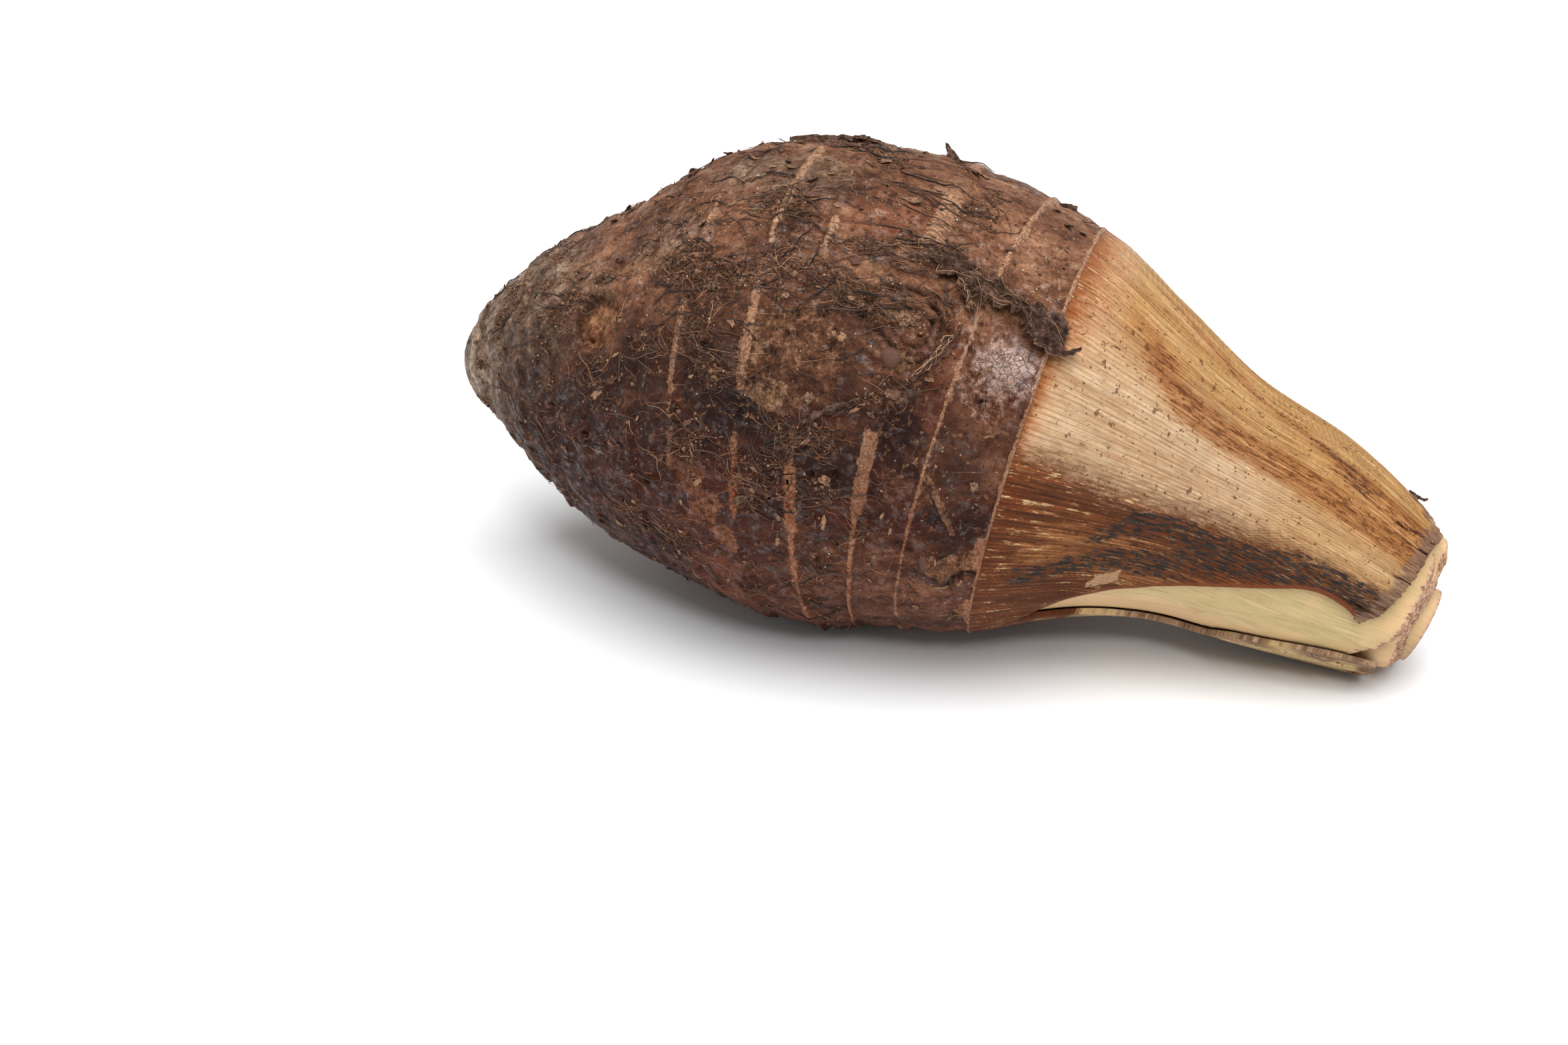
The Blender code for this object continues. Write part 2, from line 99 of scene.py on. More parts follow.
# Where a ring scar shows as a pale line: x, middle angle, half angle, half width of the line, strength
RING_LINES = (
    (61, 0, 180, 0.35, 1), (61, 100, 5, 1.5, 0.95), (61, 126, 7, 1.5, 0.9), (46.8, 5, 27, 0.5, 0.95),
    (46.8, 70, 28, 0.5, 0.85), (46.8, 115, 17, 0.45, 0.7), (46.8, 180, 40, 0.6, 0.5),
    (46.8, -70, 50, 0.6, 0.8), (31.6, 18.5, 9, 1.4, 1), (31.4, 84, 10, 1.6, 0.95), (31.4, 112, 24, 0.7, 0.85),
    (31.4, -50, 40, 0.7, 0.7), (31.4, 175, 40, 0.7, 0.5), (15.6, 30, 4.5, 0.7, 0.8), (15.6, 9, 9, 1.2, 0.4),
    (15.6, 82, 7, 0.5, 0.5), (15.6, 93, 8, 1.2, 0.75), (15.6, 118, 18, 0.6, 0.75), (15.6, -90, 50, 0.8, 0.6),
    (3.8, 16, 19, 0.7, 0.85), (3.8, 44, 4, 0.7, 0.45), (3.8, 58, 12, 0.8, 0.8), (3.8, -60, 30, 0.7, 0.7),
    (3.8, 88, 12, 0.7, 0.5), (-11, 27, 8, 0.6, 0.5), (-11, 60, 11, 0.8, 0.85), (-11, -80, 50, 0.7, 0.6),
    (-11, 84, 6, 0.9, 0.5), (-27, 60, 50, 0.5, 0.2), (-27, -90, 60, 0.7, 0.5), (-43, -90, 60, 0.6, 0.4),
    (-43, 30, 20, 0.6, 0.2), (-55, 20, 50, 0.5, 0.2),
)
# Soft-edged places on the skin: x, angle, half length, half width, strength
MATTED = (
    (-13, 41, 8, 4.5, 0.9), (-4, 43.5, 8, 5, 1), (6, 39, 8, 4.5, 0.85), (14, 41, 8, 4, 0.9),
    (22, 46, 4.5, 4.5, 1), (26.5, 32, 8, 3.5, 1), (33.5, 30, 5, 4, 1), (6, 24, 6, 6.5, 0.75),
    (18, -2, 5, 3, 0.9), (37, 8, 3.5, 9, 0.5), (20, 18, 5, 5, 0.35), (-8, 52, 5, 8, 0.6),
    (-3, 66, 5.5, 5.5, 0.6), (19, 76, 8, 3.5, 0.85), (31, 63.5, 4, 3, 0.6), (28, 44, 2.5, 6, 0.9),
    (37.5, 41.5, 2.5, 4, 0.6), (-18, 60, 6, 6, 0.4), (-37, 63, 5, 4, 0.5), (-49, 46, 4, 8, 0.7),
    (-26, 30, 5, 3, 0.5), (-14, 22, 4, 4, 0.4), (8, 90, 8, 5, 0.5), (24, 92, 5, 4, 0.4), (-10, 84, 6, 5, 0.4),
    (33, 20, 3, 2, 0.4), (-64, 33, 8, 12, 0.45), (-18, 116, 9, 7, 0.4), (-30, -60, 14, 10, 0.7),
    (10, -70, 12, 8, 0.8), (38, -95, 8, 12, 0.7), (-5, -140, 16, 9, 0.7), (25, 150, 12, 9, 0.6),
    (-45, 170, 12, 10, 0.6), (4, 185, 18, 12, 0.7), (-50, -120, 10, 8, 0.6),
)
PALE_PLACES = (
    (32.6, 56.5, 2.2, 2, 1), (33, 64, 1.6, 3.5, 0.5), (-10, 90, 4, 5, 0.9), (-6.5, 98, 6, 6, 0.6),
    (-1.5, 107, 3, 3, 0.9), (5, 57, 2.5, 4, 0.45), (8.5, 69.5, 5, 2, 0.7), (15, 62, 4, 5, 0.3),
    (51.8, 105.5, 4.6, 3.4, 1), (58.9, 101, 1.8, 4.6, 1.3), (59.6, 126, 1.8, 5, 1.1), (-24, 36, 7, 4.5, 0.45),
    (-49, 33, 5, 5, 0.55), (-31, 55, 3, 3, 0.3), (56.5, 20, 4, 16, 0.35), (30.8, 48.5, 2.2, 2, 0.9),
    (19, 13, 3, 5, 0.3), (-8, 16, 4, 4, 0.4), (10, -16, 8, 5, 0.6), (42, -40, 8, 9, 0.5),
    (-22, -95, 10, 9, 0.5), (20, -130, 9, 8, 0.5), (-60, -60, 9, 9, 0.5), (44, 165, 7, 10, 0.5),
    (-20, 160, 9, 8, 0.4),
)
DARK_PLACES = (
    (38, 71.5, 5, 3.2, 1.1), (41.5, 81, 3, 3, 0.9), (49, 90.5, 2.4, 4, 0.7), (0, 68, 12, 13, 0.8),
    (20, 84, 14, 8, 0.75), (-22, 62, 10, 10, 0.6), (52, 88, 7, 18, 0.45), (24, 62, 4, 8, 0.5),
    (-34, 70, 10, 7, 0.5), (47, 58, 2, 20, 0.35), (-60, 62, 12, 12, 0.5), (12, 105, 22, 14, 0.55),
    (-8, -40, 12, 9, 0.5), (30, -70, 14, 11, 0.5), (-40, -90, 14, 12, 0.5), (44, -150, 10, 16, 0.5),
    (0, 150, 20, 20, 0.4),
)
RED_PLACES = (
    (24, 22, 7, 9, 0.8), (40, 22, 5, 8, 0.7), (42.5, 60, 4.5, 14, 1), (-3, 20, 5, 5, 0.7),
    (40, 92, 7, 8, 0.5), (9, 18, 5, 8, 0.3), (-31, 44, 4, 5, 0.4), (0, 112, 12, 7, 0.4),
    (20, -40, 12, 12, 0.6), (-10, -90, 12, 12, 0.5), (52, -100, 7, 20, 0.5),
)
DUSTY_PLACES = (
    (2, 12, 16, 12, 0.42), (36, 24, 8, 9, 0.3), (-22, 30, 12, 9, 0.35), (-48, 42, 12, 14, 0.45),
    (20, -30, 20, 14, 0.35), (-20, -70, 20, 16, 0.35),
)
GLOSS_PLACES = ((53.5, 55, 6, 9.5, 1), (57, 52, 4, 6, 1), (53, -60, 6, 14, 0.5))


def curve(table, column, x):
    """A smooth curve through one column of a table, whose first column is x."""
    table = np.asarray(table, float)
    knots = table[:, 0]
    values = table[:, column]
    x = np.clip(x, knots[0], knots[-1])
    steps = np.diff(knots)
    slopes = np.diff(values) / steps
    middle = (slopes[:-1] * steps[1:] + slopes[1:] * steps[:-1]) / (steps[1:] + steps[:-1])
    tangents = np.concatenate([slopes[:1], middle, slopes[-1:]])
    i = np.clip(np.searchsorted(knots, x) - 1, 0, len(knots) - 2)
    t = (x - knots[i]) / steps[i]
    start = values[i] * (2 * t**3 - 3 * t**2 + 1) + steps[i] * tangents[i] * (t**3 - 2 * t**2 + t)
    end = values[i + 1] * (3 * t**2 - 2 * t**3) + steps[i] * tangents[i + 1] * (t**3 - t**2)
    return start + end


def ramp(low, high, x):
    """0 below low, 1 above high, smooth between."""
    t = np.clip((x - low) / (high - low), 0.0, 1.0)
    return t * t * (3 - 2 * t)


def centre_height(x):
    """The height of the root's centre line."""
    return curve(STATIONS, 1, x)


def radius(x):
    """The radius of the smooth outside, from a curve through its squares so that the tail is blunt."""
    areas = [(station[0], station[2] ** 2) for station in STATIONS]
    return np.sqrt(np.maximum(curve(areas, 1, x), 0.0))


def surface(x, angle, off):
    """The point that far off the smooth outside of the root, or off its centre line where radius is 0."""
    x, angle, off = np.broadcast_arrays(np.asarray(x, float), angle, off)
    turn = np.radians(angle)
    slope = (centre_height(x + 0.01) - centre_height(x - 0.01)) / 0.02
    length = np.hypot(1.0, slope)
    reach = radius(x) + off
    up = reach * np.cos(turn)
    return np.stack([x - up * slope / length, -reach * np.sin(turn), centre_height(x) + up / length], -1)


def patch(x, angle, mark):
    """Distances along and around the skin from the middle of a mark."""
    around = (angle - mark[1] + 180.0) % 360.0 - 180.0
    return x - mark[0], np.radians(around) * MEAN_RADIUS


def leaned(s, angle):
    """The x of a line around the corm that keeps its place between the leaning rings."""
    turn = np.radians(angle)
    return s + curve(RINGS, 1, s) * np.cos(turn) + curve(RINGS, 2, s) * np.sin(turn)


def chance(cells, seed):
    """A random number from 0 to 1 for each whole-number place."""
    mixed = cells.astype(np.uint64) * np.array([73856093, 19349663, 83492791], np.uint64)
    mixed = mixed[..., 0] ^ mixed[..., 1] ^ mixed[..., 2] ^ np.uint64(seed * 374761393)
    for shift, factor in ((15, 2246822519), (13, 3266489917)):
        mixed = ((mixed ^ (mixed >> np.uint64(shift))) * np.uint64(factor)) & np.uint64(0xFFFFFFFF)
    return (mixed ^ (mixed >> np.uint64(16))).astype(float) / 2**32


def uneven(points, size, seed, layers=1):
    """Smooth unevenness from about -1 to 1 with features of that size in mm, and finer layers over it."""
    total = 0.0
    for level in range(layers):
        place = np.asarray(points) / (size / 2**level) + 100.0 + 7.31 * level
        cell = np.floor(place).astype(np.int64)
        part = place - cell
        fade = part**3 * (part * (part * 6 - 15) + 10)
        for corner in np.ndindex(2, 2, 2):
            share = np.prod(np.where(np.array(corner) == 1, fade, 1 - fade), axis=-1)
            pull = [chance(cell + np.array(corner), 17 * seed + 5 * level + k) * 2 - 1 for k in range(3)]
            lean = np.sum(np.stack(pull, -1) * (part - np.array(corner)), axis=-1)
            total = total + share * lean * 1.9 / 1.8**level
    return total


def within(x, angle, places):
    """How far, from 0 to 1, a point of the skin lies inside the strongest of these soft-edged places."""
    most = np.zeros(np.broadcast(x, angle).shape)
    for place in places:
        along, around = patch(x, angle, place)
        away = np.hypot(along / place[2], around / place[3])
        most = np.maximum(most, place[4] * ramp(1.4, 0.6, away))
    return most


def ring_lines(s, angle):
    """How strongly the pale line of a ring scar shows."""
    most = np.zeros(np.broadcast(s, angle).shape)
    for place, middle, half, width, strength in RING_LINES:
        away = np.abs((angle - middle + 180.0) % 360.0 - 180.0)
        line = ramp(1.5, 0.6, np.abs(s - place) / width) * ramp(half + 2.0, half - 1.0, away)
        most = np.maximum(most, strength * line)
    return most


def ring_relief(s, angle):
    """Low ridges at the rings, and the slight swell of the skin between them."""
    height = np.zeros(np.broadcast(s, angle).shape)
    places = [ring[0] for ring in RINGS]
    for place in places[:-1]:
        height += 0.8 * np.exp(-(((s - place) / 1.3) ** 2)) - 0.35 * np.exp(-(((s - place - 2.6) / 1.3) ** 2))
    for low, high in zip(places[:-1], places[1:]):
        height += 0.6 * np.sin(np.pi * np.clip((s - low) / (high - low), 0.0, 1.0)) * (high - low) / 15.0
    return height


def eye_relief(x, angle, mark, ripples):
    """A dormant eye: a low swelling with the rings of its scale leaves around it."""
    away = np.hypot(*patch(x, angle, mark))
    size = mark[2]
    rings = 0.5 * np.cos(2 * np.pi * away / (size / ripples)) * ramp(size * 1.15, size * 0.8, away)
    return 1.6 * np.exp(-((away / size) ** 2)) + rings


def dent(x, angle, mark, depth, edge):
    """A hollow with a fairly steep rim."""
    along, around = patch(x, angle, mark)
    return -depth * ramp(1.0 + edge, 1.0 - edge, np.hypot(along / mark[2], around / mark[-1]))


def ridge_relief(x, angle):
    """An old root that lies along the skin."""
    height = np.zeros(np.broadcast(x, angle).shape)
    for start, end in zip(ROOT_RIDGE[:-1], ROOT_RIDGE[1:]):
        along, around = patch(x, angle, start)
        run = (end[0] - start[0], math.radians(end[1] - start[1]) * MEAN_RADIUS)
        share = np.clip((along * run[0] + around * run[1]) / (run[0] ** 2 + run[1] ** 2), 0.0, 1.0)
        away = np.hypot(along - share * run[0], around - share * run[1])
        height = np.maximum(height, 1.6 * np.exp(-((away / 1.3) ** 2)))
    return height


def eye_rings(x, angle):
    """The scale leaves around the near eye: -1 in their grooves to 1 on their edges, 0 away from them."""
    away = np.hypot(*patch(x, angle, EYE_MIDDLE))
    wave = np.sin(away * 2 * np.pi / 2.1 + 2.6 * uneven(surface(x, angle, 0.0), 6.0, 22, 2))
    return wave * ramp(11.0, 7.0, away) * ramp(2.6, 3.6, away)


def corm_relief(x, s, angle):
    """How far the corm's skin stands off the smooth outside, without its finest relief."""
    turn = np.radians(angle)
    lumps = 0.3 * np.sin(3 * turn - x / 11.0 + 1.0)
    lumps = lumps + ramp(-0.1, -0.8, np.sin(turn)) * 1.2 * np.sin(2 * turn + x / 19.0)
    height = ring_relief(s, angle) + lumps - SKIN_SINK
    height += eye_relief(x, angle, EYE, 3.3) + dent(x, angle, EYE_HOLE, 1.8, 0.5)
    height += eye_relief(x, angle, BACK_EYE, 3.0) + eye_relief(x, angle, BELLY_EYE, 2.5)
    height += dent(x, angle, ROUND_SCAR, 0.7, 0.12) + dent(x, angle, PIT, 3.2, 0.16)
    along, around = patch(x, angle, NECK_BUD)
    height += 1.5 * np.exp(-((along**2 + around**2) / NECK_BUD[2] ** 2)) + ridge_relief(x, angle)
    return height * ramp(NECK_RING_X + 0.2, NECK_RING_X - 3.5, x) * ramp(TAIL[0], TAIL[0] + 12.0, x)


random = np.random.default_rng(41)
crater_count = 110
craters = np.stack([random.uniform(-74, 58, crater_count), random.uniform(-180, 180, crater_count),
                    random.uniform(0.6, 1.3, crater_count)], -1)
craters = [tuple(row) for row in craters] + [(*place, 1.7) for place in ROOT_PITS]


def crater_relief(x, angle):
    """The small craters of old roots: a hole with a raised rim, and the broken stub of the root in some."""
    height = np.zeros(np.broadcast(x, angle).shape)
    for k, crater in enumerate(craters):
        along, around = patch(x, angle, crater)
        near = (np.abs(along) < 4.5) & (np.abs(around) < 4.5)
        away = np.hypot(along[near], around[near]) / crater[2]
        height[near] += 0.4 * np.exp(-(((away - 1.05) / 0.33) ** 2)) - 0.95 * ramp(0.95, 0.45, away)
        if k % 3 == 0:
            height[near] += 0.7 * ramp(0.45, 0.1, away)
    return height


def matted(x, angle):
    """How thickly old fibres and soil cling to the skin."""
    spot = surface(x, angle, 0.0)
    wobble = uneven(spot, 7.0, 3, 3)
    cover = within(x + 3.0 * wobble, angle + 3.0 * uneven(spot, 6.0, 4, 3), MATTED)
    scattered = ramp(0.22, 0.75, uneven(spot, 6.0, 2, 3)) * ramp(42.0, 25.0, x) * 0.6
    scar_size = SCAR_CORK[2] * 0.95
    open_scar = 1.0 - 0.8 * within(x, angle, ((*SCAR_CORK[:2], scar_size, scar_size, 1.0), (*PIT, 1.2)))
    return np.clip(np.maximum(cover, scattered) * (1.0 + 0.9 * uneven(spot, 3.5, 5, 2)), 0.0, 1.0) * open_scar


def skin_off(x, angle):
    """How far the finished skin of the corm stands off the smooth outside."""
    s = 2 * x - leaned(x, angle)
    spot = surface(x, angle, 0.0)
    cover = matted(x, angle)
    line = ring_lines(s + 0.35 * uneven(spot, 3.0, 31), angle)
    rough = 0.28 * uneven(spot, 9.0, 6, 2) + 0.13 * uneven(spot, 3.2, 8, 3)
    # wrinkles that run along the root, about 1.5 mm apart
    grain = spot * np.array([0.14, 1.0, 1.0])
    rough += 0.16 * np.abs(uneven(grain, 2.4, 12, 2)) * (1 - cover)
    felted = 0.75 * uneven(spot, 2.2, 14, 3) + 0.25 * uneven(spot * np.array([0.3, 1, 1]), 1.3, 15)
    rough += cover * (0.35 + felted)
    rough += 0.3 * line * (1 - cover) + crater_relief(x, angle) * 0.9
    # the flaking bark of the tail
    tail = ramp(-50.0, -58.0, s)
    rough += tail * (0.3 * uneven(spot, 4.0, 18, 3) + 0.3 * ramp(0.0, 0.25, uneven(spot, 7.0, 19, 3)))
    # the scale leaves around the eye, and its warty middle
    away = np.hypot(*patch(x, angle, EYE_MIDDLE))
    rough += 0.55 * np.exp(-((away / 3.2) ** 2)) * (1 + uneven(spot, 1.6, 21, 2))
    rough += 0.5 * eye_rings(x, angle) * (1 + 0.6 * uneven(spot, 3.0, 25, 2))
    # the bare wood in the big pit is fluted
    bare = within(x, angle, ((PIT[0], PIT[1], PIT[2] * 0.9, PIT[3] * 0.9, 1.0),))
    rough += bare * 0.45 * uneven(spot * np.array([1.0, 1.0, 0.35]), 3.0, 23, 2)
    # the bud in the newest ring, and the warty scar beside it
    away = np.hypot(*patch(x, angle, RING_BUD))
    rough += 1.1 * ramp(3.4, 2.2, away) - 0.8 * np.exp(-(((away - 3.4) / 0.6) ** 2))
    rough += 0.9 * np.exp(-((np.hypot(*patch(x, angle, RING_WART)) / 2.4) ** 2))
    away = np.hypot(*patch(x, angle, RING_SCAR))
    rough += ramp(5.5, 2.5, away) * (0.4 + 0.9 * uneven(spot, 2.0, 24, 2))
    near_neck = ramp(NECK_RING_X + 0.1, NECK_RING_X - 1.2, x)
    finest = (rough - 0.25) * near_neck * ramp(TAIL[0], TAIL[0] + 4.0, x)
    rim = 0.4 * np.exp(-(((x - NECK_RING_X + 0.4) / 0.4) ** 2)) * (1 + 0.5 * uneven(spot, 2.0, 26, 2))
    return corm_relief(x, s, angle) + finest + rim


# the solid's tail tip shows where the root's own millimetres lie in the frame
corm_places = np.array([vertex.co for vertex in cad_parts["corm"].data.vertices]) * 1000.0
at_tip_height = corm_places[np.abs(corm_places[:, 2] - TAIL[2]) < 0.02]
shift = at_tip_height[at_tip_height[:, 0].argmin()] - np.array(TAIL)
solid_low, solid_high = np.array(solid_box)


def in_frame(points):
    """From millimetres on the root to metres in the frame, kept inside the solids' box."""
    return np.clip((np.asarray(points) + shift) / 1000.0, solid_low, solid_high)


def make_piece(name, parts, faces, material, masks, stands_for=(), sharp=60.0):
    """A smooth mesh from arrays of points in mm. A mask is a number or a vector for each point."""
    mesh = bpy.data.meshes.new(name)
    points = np.concatenate([np.reshape(part, (-1, 3)) for part in parts])
    mesh.from_pydata(in_frame(points).tolist(), [], [tuple(face) for face in faces])
    shape = bmesh.new()
    shape.from_mesh(mesh)
    bmesh.ops.recalc_face_normals(shape, faces=shape.faces)
    shape.to_mesh(mesh)
    shape.free()
    mesh.shade_smooth()
    mesh.set_sharp_from_angle(angle=math.radians(sharp))
    for mask_name, values in masks.items():
        values = np.asarray(values, np.float32)
        kind, field = ("FLOAT_VECTOR", "vector") if values.ndim == 2 else ("FLOAT", "value")
        mesh.attributes.new(mask_name, kind, "POINT").data.foreach_set(field, values.ravel())
    mesh.materials.append(material)
    piece = bpy.data.objects.new(name, mesh)
    bpy.context.scene.collection.objects.link(piece)
    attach(piece, "root")
    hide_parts(*stands_for)


def ring_faces(count, around):
    """Faces of a body from rows of points around it, closed by one more point at each end."""
    i, j = np.meshgrid(np.arange(count - 1), np.arange(around), indexing="ij")
    k = (j + 1) % around
    side = np.stack([i * around + j, i * around + k, (i + 1) * around + k, (i + 1) * around + j], -1)
    j = np.arange(around)
    k = (j + 1) % around
    last = (count - 1) * around
    first_cap = np.stack([np.full(around, count * around), k, j], -1)
    last_cap = np.stack([np.full(around, count * around + 1), last + j, last + k], -1)
    return side.reshape(-1, 4).tolist() + first_cap.tolist() + last_cap.tolist()


def sheet_faces(rows, columns):
    """Faces of a closed sheet from the grid of its outside and the grid of its inside."""
    back = rows * columns
    i, j = np.meshgrid(np.arange(rows - 1), np.arange(columns - 1), indexing="ij")
    a = (i * columns + j).ravel()
    c = a + columns
    faces = np.stack([a, a + 1, c + 1, c], -1).tolist()
    faces += np.stack([back + a, back + c, back + c + 1, back + a + 1], -1).tolist()
    rim = [(0, j) for j in range(columns)] + [(i, columns - 1) for i in range(1, rows)]
    rim += [(rows - 1, j) for j in range(columns - 2, -1, -1)] + [(i, 0) for i in range(rows - 2, 0, -1)]
    for (i, j), (m, n) in zip(rim, rim[1:] + rim[:1]):
        a, b = i * columns + j, m * columns + n
        faces.append((a, back + a, back + b, b))
    return faces


def make_sheet(name, outer, inner, material, masks, stands_for, inner_masks=None):
    """A closed sheet from the grids of its outside and its inside, with masks for each point of a grid."""
    size = outer[..., 0].size
    sides = (masks, inner_masks or masks)
    both = {key: np.concatenate([side[key].reshape(size, -1) for side in sides]).squeeze() for key in masks}
    make_piece(name, (outer, inner), sheet_faces(*outer.shape[:2]), material, both, stands_for)


def paint(hex_colour):
    """sRGB hex to linear colour."""
    parts = [int(hex_colour[k:k + 2], 16) / 255 for k in (1, 3, 5)]
    return (*[part / 12.92 if part <= 0.04045 else ((part + 0.055) / 1.055) ** 2.4 for part in parts], 1.0)


def add(kind, sockets=None, out=0, stops=(), **settings):
    """Adds a node with its settings, socket values or links and colour stops to the material being made."""
    made = tree.nodes.new("ShaderNode" + kind)
    for setting, value in settings.items():
        setattr(made, setting, value)
    for socket, value in (sockets or {}).items():
        if isinstance(value, bpy.types.NodeSocket):
            tree.links.new(value, made.inputs[socket])
        else:
            made.inputs[socket].default_value = value
    for k, (place, value) in enumerate(stops):
        stop = made.color_ramp.elements[k] if k < 2 else made.color_ramp.elements.new(place)
        stop.position = place
        stop.color = paint(value) if isinstance(value, str) else (value, value, value, 1.0)
    return made.outputs[out]


def new_material(name, roughness, ior=1.45, **constants):
    """A material with the constants of its principled shader. The nodes added next go into it."""
    global tree, shader
    material = bpy.data.materials.new(name)
    material.use_nodes = True
    tree = material.node_tree
    shader = tree.nodes["Principled BSDF"]
    shader.inputs["Roughness"].default_value = roughness
    shader.inputs["IOR"].default_value = ior
    for socket, value in constants.items():
        shader.inputs[socket.replace("_", " ")].default_value = value
    return material


def wire(**sockets):
    """Links outputs to the principled shader of the material being made."""
    for socket, output in sockets.items():
        tree.links.new(output, shader.inputs[socket.replace("_", " ")])


# Skin of the corm: thin cork (suberin), grown, then dried and rubbed with soil. The eye sees a dull red
# brown with darker and paler clouds, grey bark at the tail, pale corky ring scars, and a waxy gloss beside
# the newest rings. Shade on the near side, below and in the hollows is painted into its colour, and so is
# part of the gloss's highlight.
cork = new_material("cork_skin", 0.62, Specular_IOR_Level=0.2, Coat_Roughness=0.19, Coat_IOR=1.7)
where = add("TexCoord", out=3)
mask = {name: add("Attribute", attribute_name=name, out=2) for name in (
    "matted", "pale", "dark", "red", "gloss_and_highlight", "bark", "ring", "bare", "hollow_shade", "scar", "waxed", "painted_shade",
    "reddened_shade")}
along_root = add("Mapping", {"Vector": where, "Scale": (0.35, 1.0, 1.0)})
clouds = add("TexNoise", {"Vector": along_root, "Scale": 110.0, "Detail": 8.0, "Roughness": 0.7})
colour = add("ValToRGB", {0: clouds}, stops=((0.34, "#43261a"), (0.66, "#b08060"), (0.5, "#7c5038")))
mottle = add("TexNoise", {"Vector": where, "Scale": 420.0, "Detail": 6.0, "Roughness": 0.75})
fine = add("TexNoise", {"Vector": where, "Scale": 1300.0, "Detail": 4.0, "Roughness": 0.75})
cloud_edge = add("Math", {0: mottle, 1: 0.5}, operation="SUBTRACT")


def layer(under, over, amount, strength, raggedness=1.6, low=0.28, high=0.62):
    """One colour over another where a mask, ragged at its edge, says so."""
    ragged = add("Math", {0: cloud_edge, 1: raggedness, 2: amount}, operation="MULTIPLY_ADD")
    share = add("MapRange", {0: ragged, 1: low, 2: high, 3: 0.0, 4: strength})
    return add("Mix", {0: share, 6: under, 7: over}, 2, data_type="RGBA")


def shade(under, pattern, low, high):
    """A colour made darker and lighter by a pattern, between these two brightnesses."""
    light = add("MapRange", {0: pattern, 1: 0.32, 2: 0.68, 3: low, 4: high})
    return add("VectorMath", {0: under, 3: light}, operation="SCALE")


colour = layer(colour, paint("#8e5439"), mask["red"], 0.5)
colour = layer(colour, paint("#38190f"), mask["dark"], 0.72)
bark_clouds = add("TexNoise", {"Vector": where, "Scale": 190.0, "Detail": 7.0, "Roughness": 0.74})
bark = add("ValToRGB", {0: bark_clouds}, stops=((0.36, "#3f3027"), (0.66, "#c2ac93"), (0.5, "#816b59")))
colour = layer(colour, bark, mask["bark"], 0.9, 1.8, 0.1, 0.8)
scar = add("ValToRGB", {0: mottle}, stops=((0.36, "#3f2316"), (0.64, "#966846"), (0.5, "#724b31")))
colour = layer(colour, scar, mask["scar"], 0.92, 1.0, 0.3, 0.5)
# painted shade: the near side is darkened, under its pale marks
colour = add("Mix", {0: mask["painted_shade"], 6: colour, 7: paint("#9f857a")}, 2, data_type="RGBA",
             blend_type="MULTIPLY")
tan = add("ValToRGB", {0: fine}, stops=((0.38, "#6f4e38"), (0.62, "#a47e5c")))
colour = layer(colour, tan, mask["pale"], 0.85, 2.0, 0.38, 0.5)
# paler where the skin is waxy: partly the wax's own colour, partly a painted highlight
wax_and_highlight = add("ValToRGB", {0: mottle}, stops=((0.4, "#6b3f2d"), (0.6, "#b38b78")))
colour = layer(colour, wax_and_highlight, mask["gloss_and_highlight"], 0.75)
colour = shade(colour, mottle, 0.64, 1.3)
colour = shade(colour, fine, 0.74, 1.26)
# scales of cork and flecks of soil 0.5 to 2 mm across
for pattern_scale, low, high, strength, fleck in (
        (620.0, 0.57, 0.63, 0.75, "#29160f"), (480.0, 0.585, 0.64, 0.6, "#a47a58")):
    scales = add("TexNoise", {"Vector": where, "Scale": pattern_scale, "Detail": 5.0, "Roughness": 0.7})
    scales = add("MapRange", {0: scales, 1: low, 2: high, 3: 0.0, 4: strength})
    colour = add("Mix", {0: scales, 6: colour, 7: paint(fleck)}, 2, data_type="RGBA")
soil_colour = add("ValToRGB", {0: fine}, stops=((0.34, "#1e0f09"), (0.68, "#95694b"), (0.53, "#4e2e1d")))
colour = layer(colour, soil_colour, mask["matted"], 0.88, 1.3, 0.2, 0.7)
wood = add("ValToRGB", {0: mottle}, stops=((0.36, "#452617"), (0.64, "#ba8a61"), (0.5, "#825637")))
colour = layer(colour, wood, mask["bare"], 0.95, 0.7)
ring_colour = add("ValToRGB", {0: fine}, stops=((0.36, "#7a5039"), (0.62, "#cfa27f")))
ring_edge = add("Math", {0: fine, 1: 1.1, 2: mask["ring"]}, operation="MULTIPLY_ADD")
ring_edge = add("Math", {0: clouds, 1: 1.2, 2: ring_edge}, operation="MULTIPLY_ADD")
ring_share = add("MapRange", {0: ring_edge, 1: 1.48, 2: 1.8, 3: 0.0, 4: 0.88})
colour = add("Mix", {0: ring_share, 6: colour, 7: ring_colour}, 2, data_type="RGBA")
# grains of lime and sand about 0.3 mm across, and dark specks of soil
for cell_size, seed_shift, reach, share_of_cells, speck, strength in (
        (1.5, 0.0, 0.13, 0.80, "#bfa58a", 0.7), (1.0, 3.0, 0.25, 0.62, "#1f130e", 0.7),
        (2.4, 5.0, 0.30, 0.66, "#2b1a13", 0.65), (2.0, 6.0, 0.12, 0.72, "#ded0bb", 0.9)):
    placed = add("VectorMath", {0: where, 1: (seed_shift, seed_shift, seed_shift)}, operation="ADD")
    middle_away = add("TexVoronoi", {"Vector": placed, "Scale": 1000.0 / cell_size})
    grain = add("MapRange", {0: middle_away, 1: reach, 2: reach * 0.6, 3: 0.0, 4: strength})
    chosen = add("SeparateColor", {0: middle_away.node.outputs["Color"]})
    chosen = add("Math", {0: chosen, 1: share_of_cells}, operation="GREATER_THAN")
    grain = add("Math", {0: grain, 1: chosen}, operation="MULTIPLY")
    colour = add("Mix", {0: grain, 6: colour, 7: paint(speck)}, 2, data_type="RGBA")
